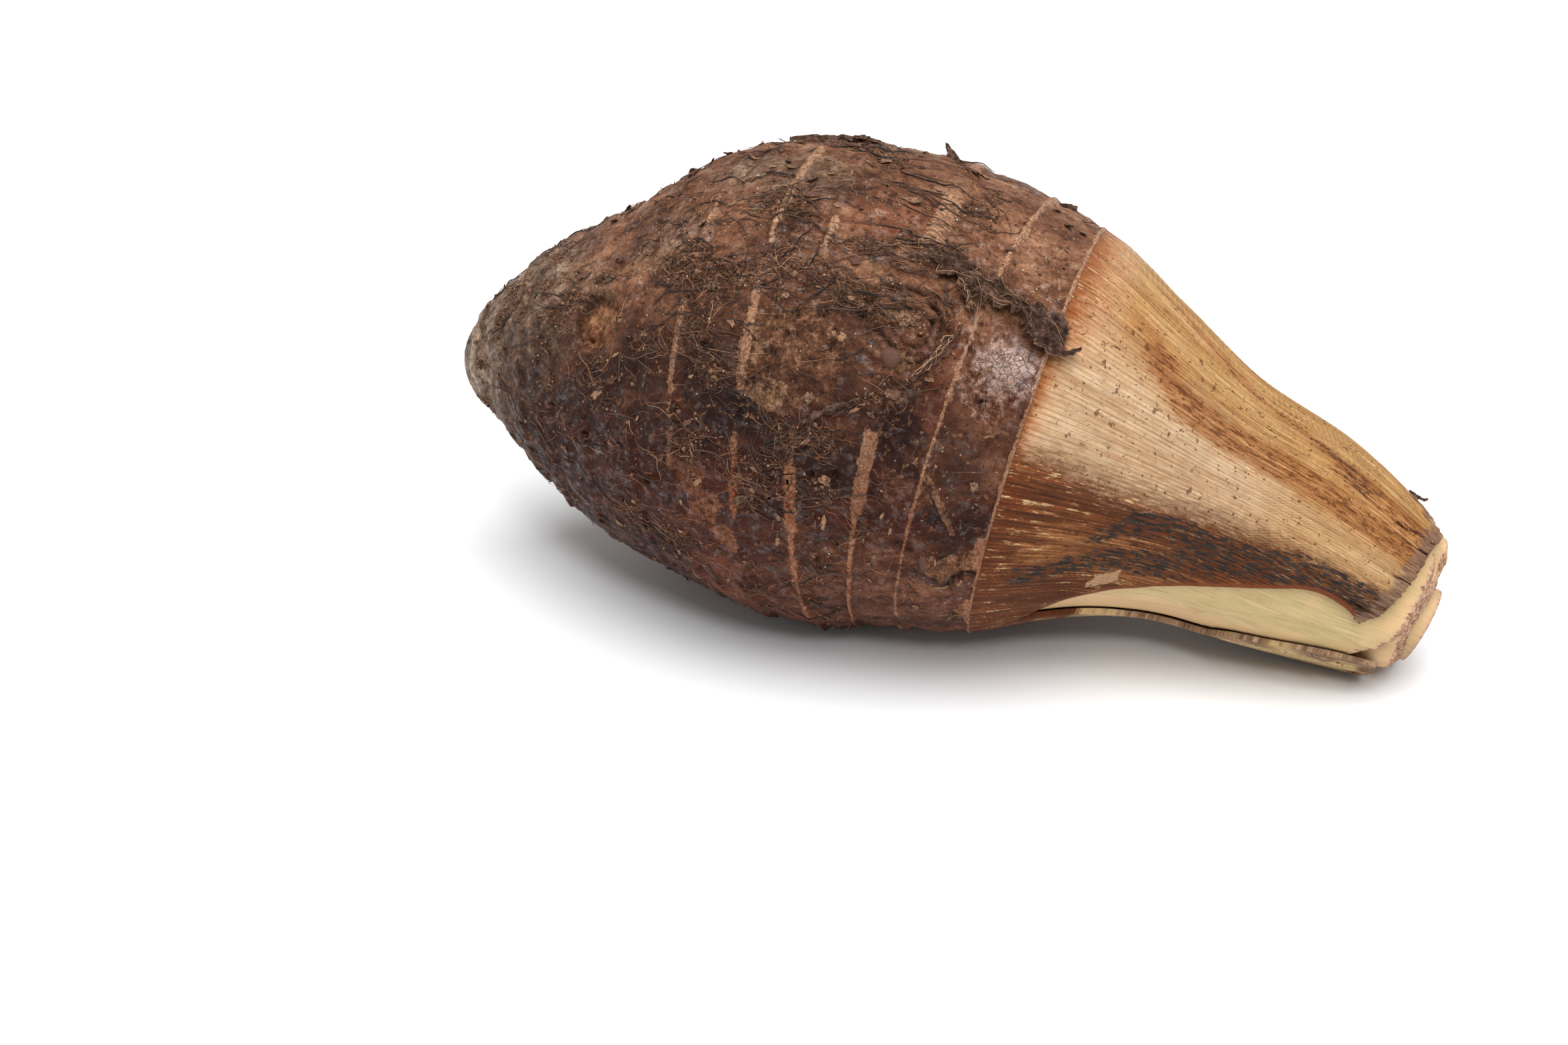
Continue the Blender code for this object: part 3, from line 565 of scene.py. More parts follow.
# the same painted shade, more thinly, over them; and painted shade that darkens and reddens its lower part
thin_painted_shade = add("Math", {0: mask["painted_shade"], 1: 0.75}, operation="MULTIPLY")
for painted_share, tint in ((thin_painted_shade, "#bfa797"), (mask["reddened_shade"], "#f1c5a8")):
    colour = add("Mix", {0: painted_share, 6: colour, 7: paint(tint)}, 2, data_type="RGBA", blend_type="MULTIPLY")
# painted shade in the hollows
hollow = add("Math", {0: mask["hollow_shade"], 1: 0.8}, operation="MULTIPLY")
colour = add("Mix", {0: hollow, 6: colour, 7: paint("#1b0f0b")}, 2, data_type="RGBA")
wire(Base_Color=colour)
shine = add("MapRange", {0: mask["gloss_and_highlight"], 1: 0.15, 2: 0.9, 3: 0.0, 4: -0.42})
dull = add("Math", {0: mask["matted"], 1: 0.3, 2: 0.42}, operation="MULTIPLY_ADD")
dull = add("Math", {0: fine, 1: 0.3, 2: dull}, operation="MULTIPLY_ADD")
wire(Roughness=add("Math", {0: dull, 1: shine}, operation="ADD"))
threads = add("Mapping", {"Vector": where, "Scale": (0.2, 1.0, 1.0)})
threads = add("TexNoise", {"Vector": threads, "Scale": 1000.0, "Detail": 5.0, "Roughness": 0.65})
crackle = add("TexVoronoi", {"Vector": where, "Scale": 620.0}, feature="DISTANCE_TO_EDGE")
cracked = add("MapRange", {0: crackle, 1: 0.0, 2: 0.12, 3: -0.9, 4: 0.0})
cracked = add("Math", {0: cracked, 1: mask["gloss_and_highlight"]}, operation="MULTIPLY")
relief = add("Math", {0: fine, 1: 0.9, 2: threads}, operation="MULTIPLY_ADD")
relief = add("Math", {0: mottle, 1: 1.8, 2: relief}, operation="MULTIPLY_ADD")
relief = add("Math", {0: relief, 1: cracked}, operation="ADD")
wire(Normal=add("Bump", {"Height": relief, "Strength": 0.9, "Distance": 0.0006}))
waxed = add("Math", {0: mottle, 1: 2.4, 2: mask["waxed"]}, operation="MULTIPLY_ADD")
wire(Coat_Weight=add("MapRange", {0: waxed, 1: 1.2, 2: 1.85, 3: 0.0, 4: 1.0}))
glaze = add("Math", {0: cracked, 1: 0.4, 2: mottle}, operation="MULTIPLY_ADD")
wire(Coat_Normal=add("Bump", {"Height": glaze, "Strength": 0.4, "Distance": 0.0006}))


def spaced(*runs):
    """Evenly spaced numbers in runs, each given as first, last and how many."""
    return np.concatenate([np.linspace(*run) for run in runs])


def lattice(rows, columns):
    """The two grids of the rows' and the columns' values."""
    return np.meshgrid(rows, columns, indexing="ij")


# rows 0.7 mm apart, and columns 0.6 mm apart around the near side and 1.4 mm behind
stations = spaced((-88.2, -80.0, 20), (-79.4, 60.0, 212), (60.3, 61.2, 5))
columns = spaced((-16.0, 128.0, 236), (129.4, 342.6, 158))
s, angle = lattice(stations, columns)
x = leaned(s, angle)
off = skin_off(x, angle)
skin = surface(x, angle, off)
inside = surface(np.array([[62.0], [66.0], [72.0]]), columns, np.array([[-4.0], [-6.5], [-12.0]]))
skin = np.concatenate([skin, inside])
skin[..., 2] = np.maximum(skin[..., 2], 0.0)
tips = np.array([surface(TAIL[0], 0.0, 0.0), surface(80.0, 0.0, -float(radius(80.0)))])


def per_point(values):
    """Values of the skin's grid, then those of the rows hidden under the leaf bases and of the two tips."""
    grid = np.concatenate([values, np.repeat(values[-1:], len(inside), 0)]).ravel()
    return np.concatenate([grid, [values[0].mean(), values[-1].mean()]])


spot = surface(x, angle, 0.0)
scar_away = np.hypot(*patch(x, angle, SCAR_CORK)) / SCAR_CORK[2] + 0.13 * uneven(spot, 4.0, 44, 3)
scar_rim = np.exp(-(((scar_away - 1.0) / 0.07) ** 2))
scar_rim *= ramp(4.0, -6.0, x - SCAR_CORK[0] - 0.2 * (angle - SCAR_CORK[1]))
pale_root = 0.6 * ramp(0.5, 1.4, ridge_relief(x, angle)) * ramp(38.0, 46.0, x)
pit_along, pit_around = patch(x, angle, PIT)
pit_along, pit_around = pit_along / PIT[2], pit_around / PIT[3]
pit_away = np.hypot(pit_along, pit_around) + 0.1 * uneven(spot, 3.0, 45, 2)
bud_away = np.hypot(*patch(x, angle, RING_BUD))
wobble_x = x + 2.0 * uneven(spot, 5.0, 41, 3)
wobble_angle = angle + 2.0 * uneven(spot, 5.0, 42, 3)
# painted shade on the near side, thinner beside the newest ring, below, and on the round scar
painted_shade = ramp(34.0, 76.0, wobble_angle) * ramp(175.0, 140.0, angle) * ramp(-78.0, -62.0, x)
beside_ring = ramp(62.0, 70.0, wobble_angle) * ramp(94.0, 84.0, wobble_angle) * ramp(36.0, 42.0, wobble_x)
painted_shade = painted_shade * (1 - 0.35 * beside_ring)
painted_shade = painted_shade * (1 - 0.6 * ramp(92.0, 108.0, wobble_angle) * ramp(-25.0, -5.0, wobble_x))
in_scar = ramp(1.04, 0.94, scar_away)
painted_shade = painted_shade * (1 - 0.4 * in_scar)
# painted shade: the lower part of the near side is darkened and reddened
reddened_shade = ramp(76.0, 96.0, wobble_angle) * ramp(185.0, 145.0, wobble_angle) * ramp(-75.0, -50.0, x)
# painted shade in the hollows: the pit's rim, the grooves around the bud and the eye, craters, and the scar's
# outline
hollow_shade = 0.85 * np.exp(-(((pit_away - 0.92) / 0.12) ** 2)) * ramp(0.5, -0.6, pit_along + pit_around)
hollow_shade = hollow_shade + 0.7 * np.exp(-(((bud_away - 3.3) / 0.55) ** 2)) + -(off - corm_relief(x, s, angle)) * 1.1 - 0.35
hollow_shade = hollow_shade + within(x, angle, ((25.0, 47.5, 1.5, 1.8, 1.1),)) + 0.5 * ramp(0.1, -0.9, eye_rings(x, angle))
hollow_shade = hollow_shade + 0.5 * np.exp(-(((scar_away - 1.06) / 0.035) ** 2))
corm_masks = {
    "matted": matted(x, angle),
    "pale": np.maximum(within(wobble_x, wobble_angle, PALE_PLACES), np.maximum(pale_root, 0.85 * scar_rim)),
    "scar": in_scar,
    "dark": within(wobble_x, wobble_angle, DARK_PLACES),
    # the painted shade of the near side, and of its lower part
    "painted_shade": painted_shade,
    "reddened_shade": reddened_shade * (1 - 0.45 * ramp(0.0, 26.0, x)),
    "red": within(wobble_x, wobble_angle, RED_PLACES),
    # the waxy gloss, whose paler colour is partly a painted highlight
    "gloss_and_highlight": within(wobble_x, wobble_angle, GLOSS_PLACES),
    "waxed": np.exp(-(((wobble_x - WAXY[0]) / WAXY[2]) ** 2) - ((wobble_angle - WAXY[1]) / WAXY[3]) ** 2),
    "bark": np.maximum(ramp(-38.0, -68.0, s + 7.0 * uneven(spot, 12.0, 43, 3)) * 0.95,
                       within(wobble_x, wobble_angle, DUSTY_PLACES)),
    "ring": ring_lines(s + 0.35 * uneven(spot, 3.0, 31), angle),
    "bare": ramp(1.0, 0.86, pit_away),
    # the painted shade in the hollows
    "hollow_shade": np.clip(hollow_shade, 0.0, 1.0),
}
make_piece("corm_skin", (skin, tips), ring_faces(*skin.shape[:2]), cork,
           {name: per_point(values) for name, values in corm_masks.items()}, ("corm",))

# ----------------------------------------------------------------------------------------------------------
# Root hairs and old fibres: dead roots as thin as thread, and the fibres of rotted leaf bases. They lie
# matted on the skin, held by dried soil, and some stand off it in curls.
# ----------------------------------------------------------------------------------------------------------
# the x between which loose things lie on the corm, and how many points a hair is drawn through
CORM_REACH = (-86, 60.5)
HAIR_STEPS = 10
# name, how many, lengths, thickness, how far they stand off the skin, how much they curl, how many keep
# along the root, and whether they lie only where the skin is matted
HAIRS = (
    ("fine_root_hairs", 1700, (2.0, 7.5), (0.05, 0.11), (0.03, 0.45), 1.0, 0.5, True),
    ("felted_fibres", 1900, (1.6, 5.5), (0.07, 0.16), (0.0, 0.35), 0.8, 0.6, True),
    ("pale_root_hairs", 320, (3.0, 9.0), (0.06, 0.13), (0.1, 1.2), 1.1, 0.5, True),
    ("dark_fibres", 420, (4.0, 13.0), (0.22, 0.5), (0.0, 0.7), 0.7, 0.75, True),
    ("stray_root_hairs", 620, (2.0, 8.0), (0.06, 0.12), (0.03, 0.5), 1.4, 0.65, False),
)


def tubes(lines, widths):
    """Closed thin tubes that taper along lines: their points, faces, and the number of each point's line."""
    count, steps = lines.shape[:2]
    run = np.gradient(lines, axis=1)
    run /= np.linalg.norm(run, axis=-1, keepdims=True) + 1e-9
    side = np.cross(run, np.array([0.31, 0.52, 0.79]))
    side /= np.linalg.norm(side, axis=-1, keepdims=True) + 1e-9
    other = np.cross(run, side)
    share = np.linspace(0.0, 1.0, steps)
    reach = widths[:, None] / 2 * (1.0 - 0.65 * share**2)
    turn = np.arange(3) * 2 * np.pi / 3
    spread = side[:, :, None] * np.cos(turn)[:, None] + other[:, :, None] * np.sin(turn)[:, None]
    points = lines[:, :, None] + spread * reach[:, :, None, None]
    faces = []
    first = np.arange(count)[:, None] * steps * 3
    for i in range(steps - 1):
        for j in range(3):
            k = (j + 1) % 3
            faces.append(first + np.array([i * 3 + j, i * 3 + k, i * 3 + 3 + k, i * 3 + 3 + j]))
    last = (steps - 1) * 3
    ends = [first + np.array([2, 1, 0]), first + np.array([last, last + 1, last + 2])]
    faces = np.concatenate(faces).tolist() + np.concatenate(ends).tolist()
    numbers = np.broadcast_to(np.arange(count)[:, None, None], points.shape[:3]).ravel()
    return points, faces, numbers


def on_skin(count, only_matted):
    """Places on the skin of the corm, picked where it is matted, or all over it."""
    tries = count * 14
    tried_x = random.uniform(-82.0, 60.0, tries)
    tried_angle = np.where(random.random(tries) < 0.62, random.uniform(-15, 125, tries),
                           random.uniform(-180, 180, tries))
    cover = matted(tried_x, tried_angle) if only_matted else np.full(tries, 0.4)
    kept = random.random(tries) < cover**1.3 * radius(tried_x) / 60.0
    return tried_x[kept][:count], tried_angle[kept][:count]


def wander(x, angle, lengths, stand_off, curl, keep_along):
    """Lines over the skin from starting places, that arch off it and curl."""
    count = len(x)
    heading = np.where(random.random(count) < keep_along, random.normal(0.0, 0.35, count),
                       random.uniform(-3.1, 3.1, count))
    heading = heading + np.pi * (random.random(count) < 0.5)
    bend = random.normal(0.0, curl, (count, 2)) / (HAIR_STEPS - 1)
    step = lengths / (HAIR_STEPS - 1)
    track = []
    for k in range(HAIR_STEPS):
        track.append((x, angle))
        heading = heading + bend[:, 0] + bend[:, 1] * np.sin(k * 0.9) * 2
        x = x + step * np.cos(heading)
        angle = angle + np.degrees(step * np.sin(heading) / np.maximum(radius(np.clip(x, -80, 61)), 12.0))
    x, angle = (np.stack(column, 1) for column in zip(*track))
    x = np.clip(x, *CORM_REACH)
    share = np.linspace(0.0, 1.0, HAIR_STEPS)
    arch = stand_off[:, None] * np.sin(np.pi * share * random.uniform(0.6, 1.0, count)[:, None]) ** 2
    arch = arch + 0.12 * np.sin(share * 9.0 + random.uniform(0, 6, count)[:, None]) * stand_off[:, None]
    lines = surface(x, angle, skin_off(x, angle) + 0.06 + np.maximum(arch, 0.0))
    lines[..., 2] = np.maximum(lines[..., 2], 0.12)
    return lines


def grainy_material(name, roughness, ior, noise, dusting, stops, strength=0.5, depth=0.0001):
    """A matt material that gives each thread, grain or flake its own tone, with dust over it."""
    material = new_material(name, roughness, ior)
    each = add("Attribute", attribute_name="each", out=2)
    dust = add("TexNoise", {"Vector": add("TexCoord", out=3), **noise})
    tone = add("Math", {0: dust, 1: dusting, 2: each}, operation="MULTIPLY_ADD")
    wire(Base_Color=add("ValToRGB", {0: tone}, stops=stops),
         Normal=add("Bump", {"Height": dust, "Strength": strength, "Distance": depth}))
    return material


# Dead root fibre: cellulose, weathered. The eye sees straw brown threads, darker where soil coats them.
fibre_materials = {
    name: grainy_material(name.replace("hairs", "hair"), 0.75, 1.5, {"Scale": 900.0, "Detail": 3.0}, 0.6,
                          ((0.35, dark_end), (1.15, light_end)))
    for name, dark_end, light_end in (
        ("fine_root_hairs", "#35190f", "#b27d59"), ("felted_fibres", "#170b07", "#643f2c"),
        ("pale_root_hairs", "#5c3825", "#c99b73"), ("dark_fibres", "#1a0e0a", "#523626"),
        ("stray_root_hairs", "#3a2015", "#94694d"))}

for name, count, lengths, widths, stand_off, curl, keep_along, only_matted in HAIRS:
    x, angle = on_skin(count, only_matted)
    count = len(x)
    lines = wander(x, angle, random.uniform(*lengths, count), random.uniform(*stand_off, count), curl,
                   keep_along)
    points, faces, numbers = tubes(lines, random.uniform(*widths, count))
    make_piece(name, (points,), faces, fibre_materials[name],
               masks={"each": random.random(count)[numbers]}, sharp=180.0)

# ----------------------------------------------------------------------------------------------------------
# Crumbs of soil, and grains of sand and lime: broken by weather, carried on the root out of the ground,
# and dried onto its skin.
# ----------------------------------------------------------------------------------------------------------


def crumbs(middle, sizes):
    """Small uneven stones around these points: their points, faces, and the number of each point's stone."""
    solid = bmesh.new()
    bmesh.ops.create_icosphere(solid, subdivisions=1, radius=1.0)
    ball = np.array([vertex.co[:] for vertex in solid.verts])
    sides = np.array([[vertex.index for vertex in face.verts] for face in solid.faces])
    solid.free()
    count = len(middle)
    shape = ball[None] * random.uniform(0.45, 1.15, (count, len(ball), 1))
    shape = shape * random.uniform(0.6, 1.2, (count, 1, 3))
    points = middle[:, None] + shape * (sizes / 2)[:, None, None]
    points[..., 2] = np.maximum(points[..., 2], 0.02)
    faces = (sides[None] + np.arange(count)[:, None, None] * len(ball)).reshape(-1, 3)
    return points, faces.tolist(), np.repeat(np.arange(count), len(ball))


# name, how many, sizes, whether they lie only where the skin is matted, colours, roughness
for name, count, sizes, only_matted, colours, roughness in (
        ("soil_crumbs", 2600, (0.4, 1.7), True, ("#1d110c", "#7a5942"), 0.95),
        ("sand_grains", 330, (0.28, 0.7), True, ("#9d8468", "#ded0b6"), 0.7),
        ("bark_crumbs", 700, (0.3, 0.9), False, ("#2d1d16", "#84634b"), 0.9)):
    x, angle = on_skin(count, only_matted)
    scale = sizes[0] + (sizes[1] - sizes[0]) * random.random(len(x)) ** 2.2
    points, faces, numbers = crumbs(surface(x, angle, skin_off(x, angle) - 0.1 * scale), scale)
    # Dried soil, or quartz and lime sand: broken by weather. The eye sees matt grains, each in its own tone.
    stone = grainy_material(name, roughness, 1.5, {"Scale": 1800.0, "Detail": 3.0}, 0.5,
                            ((0.3, colours[0]), (1.2, colours[1])))
    make_piece(name, (points,), faces, stone,
               masks={"each": random.random(len(x))[numbers]}, sharp=180.0)

# the warty bud in the middle of the eye
wart_count = 70
x = EYE[0] + 0.7 + random.normal(0.0, 1.3, wart_count)
angle = EYE[1] + 0.2 + random.normal(0.0, 1.3, wart_count)
points, faces, numbers = crumbs(surface(x, angle, skin_off(x, angle)), random.uniform(0.6, 1.3, wart_count))
make_piece("eye_bud", (points,), faces, stone,
           masks={"each": 0.5 + 0.8 * random.random(wart_count)[numbers]})

# ----------------------------------------------------------------------------------------------------------
# Flakes of bark: dead outer cork that has come loose in thin curled scales, still held to the skin along
# one side.
# ----------------------------------------------------------------------------------------------------------
# The flakes that show most: x, angle, half length, half width, heading from the root's axis, tone
LARGE_FLAKES = (
    (31.6, 56.5, 2, 1.6, 70, 0.6), (33.2, 64.5, 1, 1.6, 80, 0.45), (9.5, -6, 1.8, 0.5, 10, 0.9),
    (14, -7, 1.5, 0.5, 0, 0.8), (-35, 33, 2, 1, 30, 0.6), (-47, 35, 1.8, 1.1, 120, 0.55),
    (19.5, 1, 1.4, 1.2, 40, 0.1), (32.5, -7, 1.7, 0.8, 60, 0.45), (-12, 28, 1.4, 0.9, 60, 0.35),
    (48, 104, 1.6, 1.1, 70, 0.6),
)
flake_count = 420
x, angle = on_skin(flake_count, False)
listed = np.array(LARGE_FLAKES)
long = np.concatenate([0.4 + 1.1 * random.random(len(x)) ** 2.5, listed[:, 2]])
wide = np.concatenate([long[:len(x)] * random.uniform(0.3, 0.75, len(x)), listed[:, 3]])
heading = np.concatenate([random.uniform(0, np.pi, len(x)), np.radians(listed[:, 4])])
tone = np.concatenate([0.75 * random.random(len(x)) ** 1.6, listed[:, 5]])
x, angle = np.concatenate([x, listed[:, 0]]), np.concatenate([angle, listed[:, 1]])
a, b = lattice(np.linspace(-1.0, 1.0, 5), np.linspace(-1.0, 1.0, 4))
edge = 1.0 + 0.32 * random.uniform(-1.0, 1.0, (len(x), *a.shape))
ahead, aside = long[:, None, None] * a * edge, wide[:, None, None] * b * edge * (1.0 - 0.45 * a**2)
turn = heading[:, None, None]
place = x[:, None, None] + ahead * np.cos(turn) - aside * np.sin(turn)
turned = angle[:, None, None] + np.degrees((ahead * np.sin(turn) + aside * np.cos(turn)) / MEAN_RADIUS)
place = np.clip(place, *CORM_REACH)
curl = random.uniform(0.05, 0.28, len(x))[:, None, None] * (a + 1.0) ** 2 * long[:, None, None] ** 0.5
off = skin_off(place, turned) + 0.08 + curl + 0.1 * b**2
outer, inner = surface(place, turned, off + 0.14), surface(place, turned, off)
points = np.concatenate([outer.reshape(len(x), -1, 3), inner.reshape(len(x), -1, 3)], 1)
flake_sides = sheet_faces(5, 4)
faces = [tuple(corner + k * points.shape[1] for corner in side)
         for k in range(len(x)) for side in flake_sides]
# Cork: suberin cells, grown, dead and dried. The eye sees matt scales from dark red brown to tan.
scale = grainy_material("bark_scale", 0.8, 1.45, {"Scale": 1100.0, "Detail": 4.0, "Roughness": 0.7}, 1.3,
                        ((0.55, "#27150e"), (1.5, "#a07857"), (1.05, "#58382a")), 0.6, 0.0002)
make_piece("bark_flakes", (points,), faces, scale,
           masks={"each": np.repeat(tone, points.shape[1])}, sharp=180.0)

# ----------------------------------------------------------------------------------------------------------
# The outer leaf base: the foot of the oldest leaf stalk left on the root, dried to a tough ribbed sheet
# about 2 mm thick. It grows out of the newest ring, wraps the neck, stands open below, and was cut across
# with the leaf.
# ----------------------------------------------------------------------------------------------------------
# x, angle of the upper edge of its opening, angle of the lower edge
OPENING = (
    (61.3, 150, 150.6), (68, 144, 144.7), (73, 137, 138.5), (77, 129.5, 139), (83, 121, 138.5),
    (90, 114, 139), (98, 107.5, 143), (105, 102, 147), (110, 97.8, 146), (116, 92.4, 139), (119, 89.6, 132),
    (123, 85.5, 127.5), (129, 80, 124.5), (135, 79.5, 121), (140, 82.5, 118.5), (143.5, 87.5, 117.5),
    (152, 90, 117),
)
# angle, x of the cut there
OUTER_CUT = (
    (-229, 151.5), (-205, 151), (-180, 149.5), (-120, 148), (-60, 149.5), (-28, 145.5), (-6, 150.5),
    (18, 149.3), (58, 147.6), (76, 145.4), (87, 142.3), (151, 142),
)
LEAF_SKIN_THICK = 2.3
LEAF_EDGE_THICK = 1.5
LEAF_LIMIT_X = 147.0
# The streaks along it: x, angles of their middles
STREAK_TOP = ((62, -8), (80, -6), (90, -3), (100, 0), (113, 7), (126, 16), (139, 19), (152, 20))
STREAK_BROWN = ((62, 10), (79, 22), (87, 32), (101, 34), (113, 33), (125, 35), (138, 36), (152, 36))
BROWN_BELOW = ((62, 68.5), (66, 67.5), (79, 69), (93, 68.5), (108, 65), (123, 63.5), (138, 65), (152, 66))
BLACK_UPPER = ((62, 100), (80, 90), (95, 79), (108, 80), (124, 70), (140, 70), (152, 72))
BLACK_LOWER = ((62, 109), (74, 106), (86, 98), (100, 93), (113, 85), (127, 76), (140, 76), (152, 78))
STRAW_BELOW = ((60, 100), (66, 98.5), (73, 96), (84, 95.5), (94, 98), (112, 99))
# Some angles, and how many mm the orange of its foot reaches along it there
FOOT_FRINGE = ((-25, 4, 20, 33, 44, 60, 68, 80), (5, 7, 9, 7, 3.6, 2.2, 2, 6))
# Cracks that run in from the cut: x and angle of each end
CRACKS = (
    (136.5, 31.5, 147.5, 27), (135.5, 24, 146, 18), (143, 52, 147, 51), (137, -42, 147.5, -44),
    (139, -90, 148, -88), (140, -140, 149, -143),
)


def outer_edges(x, angle):
    """How far inside the outer leaf base a place is from the upper and lower edges of its opening, in mm."""
    to_upper = np.radians(curve(OPENING, 1, x) - angle) * radius(x)
    to_lower = np.radians(angle - (curve(OPENING, 2, x) - 360.0)) * radius(x)
    return np.maximum(to_upper, 0.0), np.maximum(to_lower, 0.0)


def outer_edge(x, angle):
    """How far inside the outer leaf base a place is from the nearer edge of its opening."""
    return np.minimum(*outer_edges(x, angle))


def edge_lift(x, angle):
    """How far the leaf bases stand off beside the opening, whose edges curl outwards as they dry."""
    upper, lower = outer_edges(x, angle)
    return (1.6 * np.exp(-((upper / 8.0) ** 2)) + 0.6 * np.exp(-((lower / 8.0) ** 2))) * ramp(80.0, 104.0, x)


def outer_outside(x, angle):
    """How far the outer leaf base stands off the smooth outside: its edges lift, and it is ribbed along."""
    turn = np.radians(angle)
    waves = 0.35 * np.sin(7 * turn + x / 24.0) + 0.2 * np.sin(12 * turn)
    return edge_lift(x, angle) + waves * ramp(64.0, 84.0, x) * ramp(0.0, 8.0, outer_edge(x, angle))


def outer_thick(x, angle):
    """The thickness of the outer leaf base, which thins towards its opening."""
    return LEAF_EDGE_THICK + (LEAF_SKIN_THICK - LEAF_EDGE_THICK) * ramp(0.0, 6.0, outer_edge(x, angle))


def along_veins(x, angle, stretch=0.07):
    """A place measured in mm across the veins, with its length along them shortened."""
    return np.stack([x * stretch, np.radians(angle) * 44.0, np.zeros_like(x)], -1)


def cracked(x, angle):
    """Where the cracks that run in from the cut are, from 0 to 1."""
    most = np.zeros(x.shape)
    for start_x, start_angle, end_x, end_angle in CRACKS:
        share = (x - start_x) / (end_x - start_x)
        away = np.radians(angle - start_angle - (end_angle - start_angle) * share) * radius(x)
        away = away + 0.5 * uneven(along_veins(x, angle, 0.6), 2.5, 71, 2)
        most = np.maximum(most, ramp(0.0, 0.35, share) * np.exp(-((away / 0.26) ** 2)))
    return most


def vein_relief(x, angle, cut_x):
    """The veins that run along a dried leaf base, about 1 mm apart, wrinkled crosswise where it was cut."""
    place = along_veins(x, angle + 0.6 * uneven(along_veins(x, angle, 0.2), 9.0, 51))
    pitch = 1.15
    veins = 0.085 * np.sin(2 * np.pi * place[..., 1] / pitch + 1.4 * uneven(place, 4.0, 52))
    veins = veins * (1.0 + 0.8 * uneven(place, 5.0, 53)) + 0.14 * uneven(place, 2.7, 54, 2)
    folds = 0.30 * uneven(along_veins(x, angle, 0.04), 6.0, 55)
    dried = ramp(7.0, 1.0, cut_x - x)
    wrinkles = 0.35 * uneven(along_veins(x, angle, 0.9), 2.2, 56, 3) * dried
    cracks = -0.9 * ramp(0.34, 0.5, uneven(along_veins(x, angle, 0.12), 3.2, 57)) * ramp(16.0, 5.0, cut_x - x)
    cracks = cracks - 0.8 * cracked(x, angle)
    folded = ramp(7.0, 1.0, outer_edges(x, angle)[1]) * ramp(112.0, 126.0, x)
    cracks = cracks + 0.75 * uneven(along_veins(x, angle, 0.55), 3.0, 77, 3) * folded
    return (veins + folds) * ramp(61.5, 66.0, x) * (1 - 0.4 * dried) + wrinkles + cracks


def ragged_cut(table, angle, roughness, size, seed, layers):
    """The x of a knife cut at each angle, with its torn unevenness."""
    place = along_veins(np.full_like(angle, 150.0), angle, 1.0)
    return curve(table, 1, angle) + roughness * uneven(place, size, seed, layers)


along = spaced((0.0, 0.88, 58), (0.89, 1.0, 17))
start = OPENING[0][0]
near_share = 0.46
around = np.concatenate([np.linspace(0.0, near_share, 330), np.linspace(near_share, 1.0, 190)[1:]])
f, u = lattice(along, around)
x = start + f * (LEAF_LIMIT_X - start)
# the cut's x depends on the angle, and the angle on x, so they are brought together in a few rounds
for _ in range(5):
    upper = curve(OPENING, 1, x)
    angle = upper + u * (curve(OPENING, 2, x) - 360.0 - upper)
    cut_x = ragged_cut(OUTER_CUT, angle, 0.45, 1.6, 58, 3)
    x = start + f * (cut_x - start)
off = outer_outside(x, angle)
edge_away = outer_edges(x, angle)[0]
fine = vein_relief(x, angle, cut_x) * ramp(0.0, 2.5, outer_edge(x, angle))
bulge = 0.25 * uneven(surface(x, angle, 0.0), 5.0, 59) * ramp(6.0, 1.0, edge_away) * ramp(76.0, 84.0, x)
outer = surface(x, angle, off + fine + bulge)
inner = surface(x, angle, off + bulge - outer_thick(x, angle) * (1.0 - 0.35 * ramp(2.0, 0.0, edge_away)))
outer[..., 2] = np.maximum(outer[..., 2], 0.05)
inner[..., 2] = np.maximum(inner[..., 2], 0.1)


def streak(x, angle, middle, wide, seed, thin):
    """How strongly a streak along the leaf base shows: its middle line is a table of x and angle."""
    away = np.radians(angle - curve(middle, 1, x)) * radius(x)
    away = away + 2.2 * uneven(along_veins(x, angle, 0.1), 7.0, seed)
    patchy = 1.0 + thin * uneven(along_veins(x, angle, 0.05), 2.4, seed + 1, 2)
    return np.clip(np.exp(-((away / wide) ** 2)) * patchy, 0.0, 1.0)


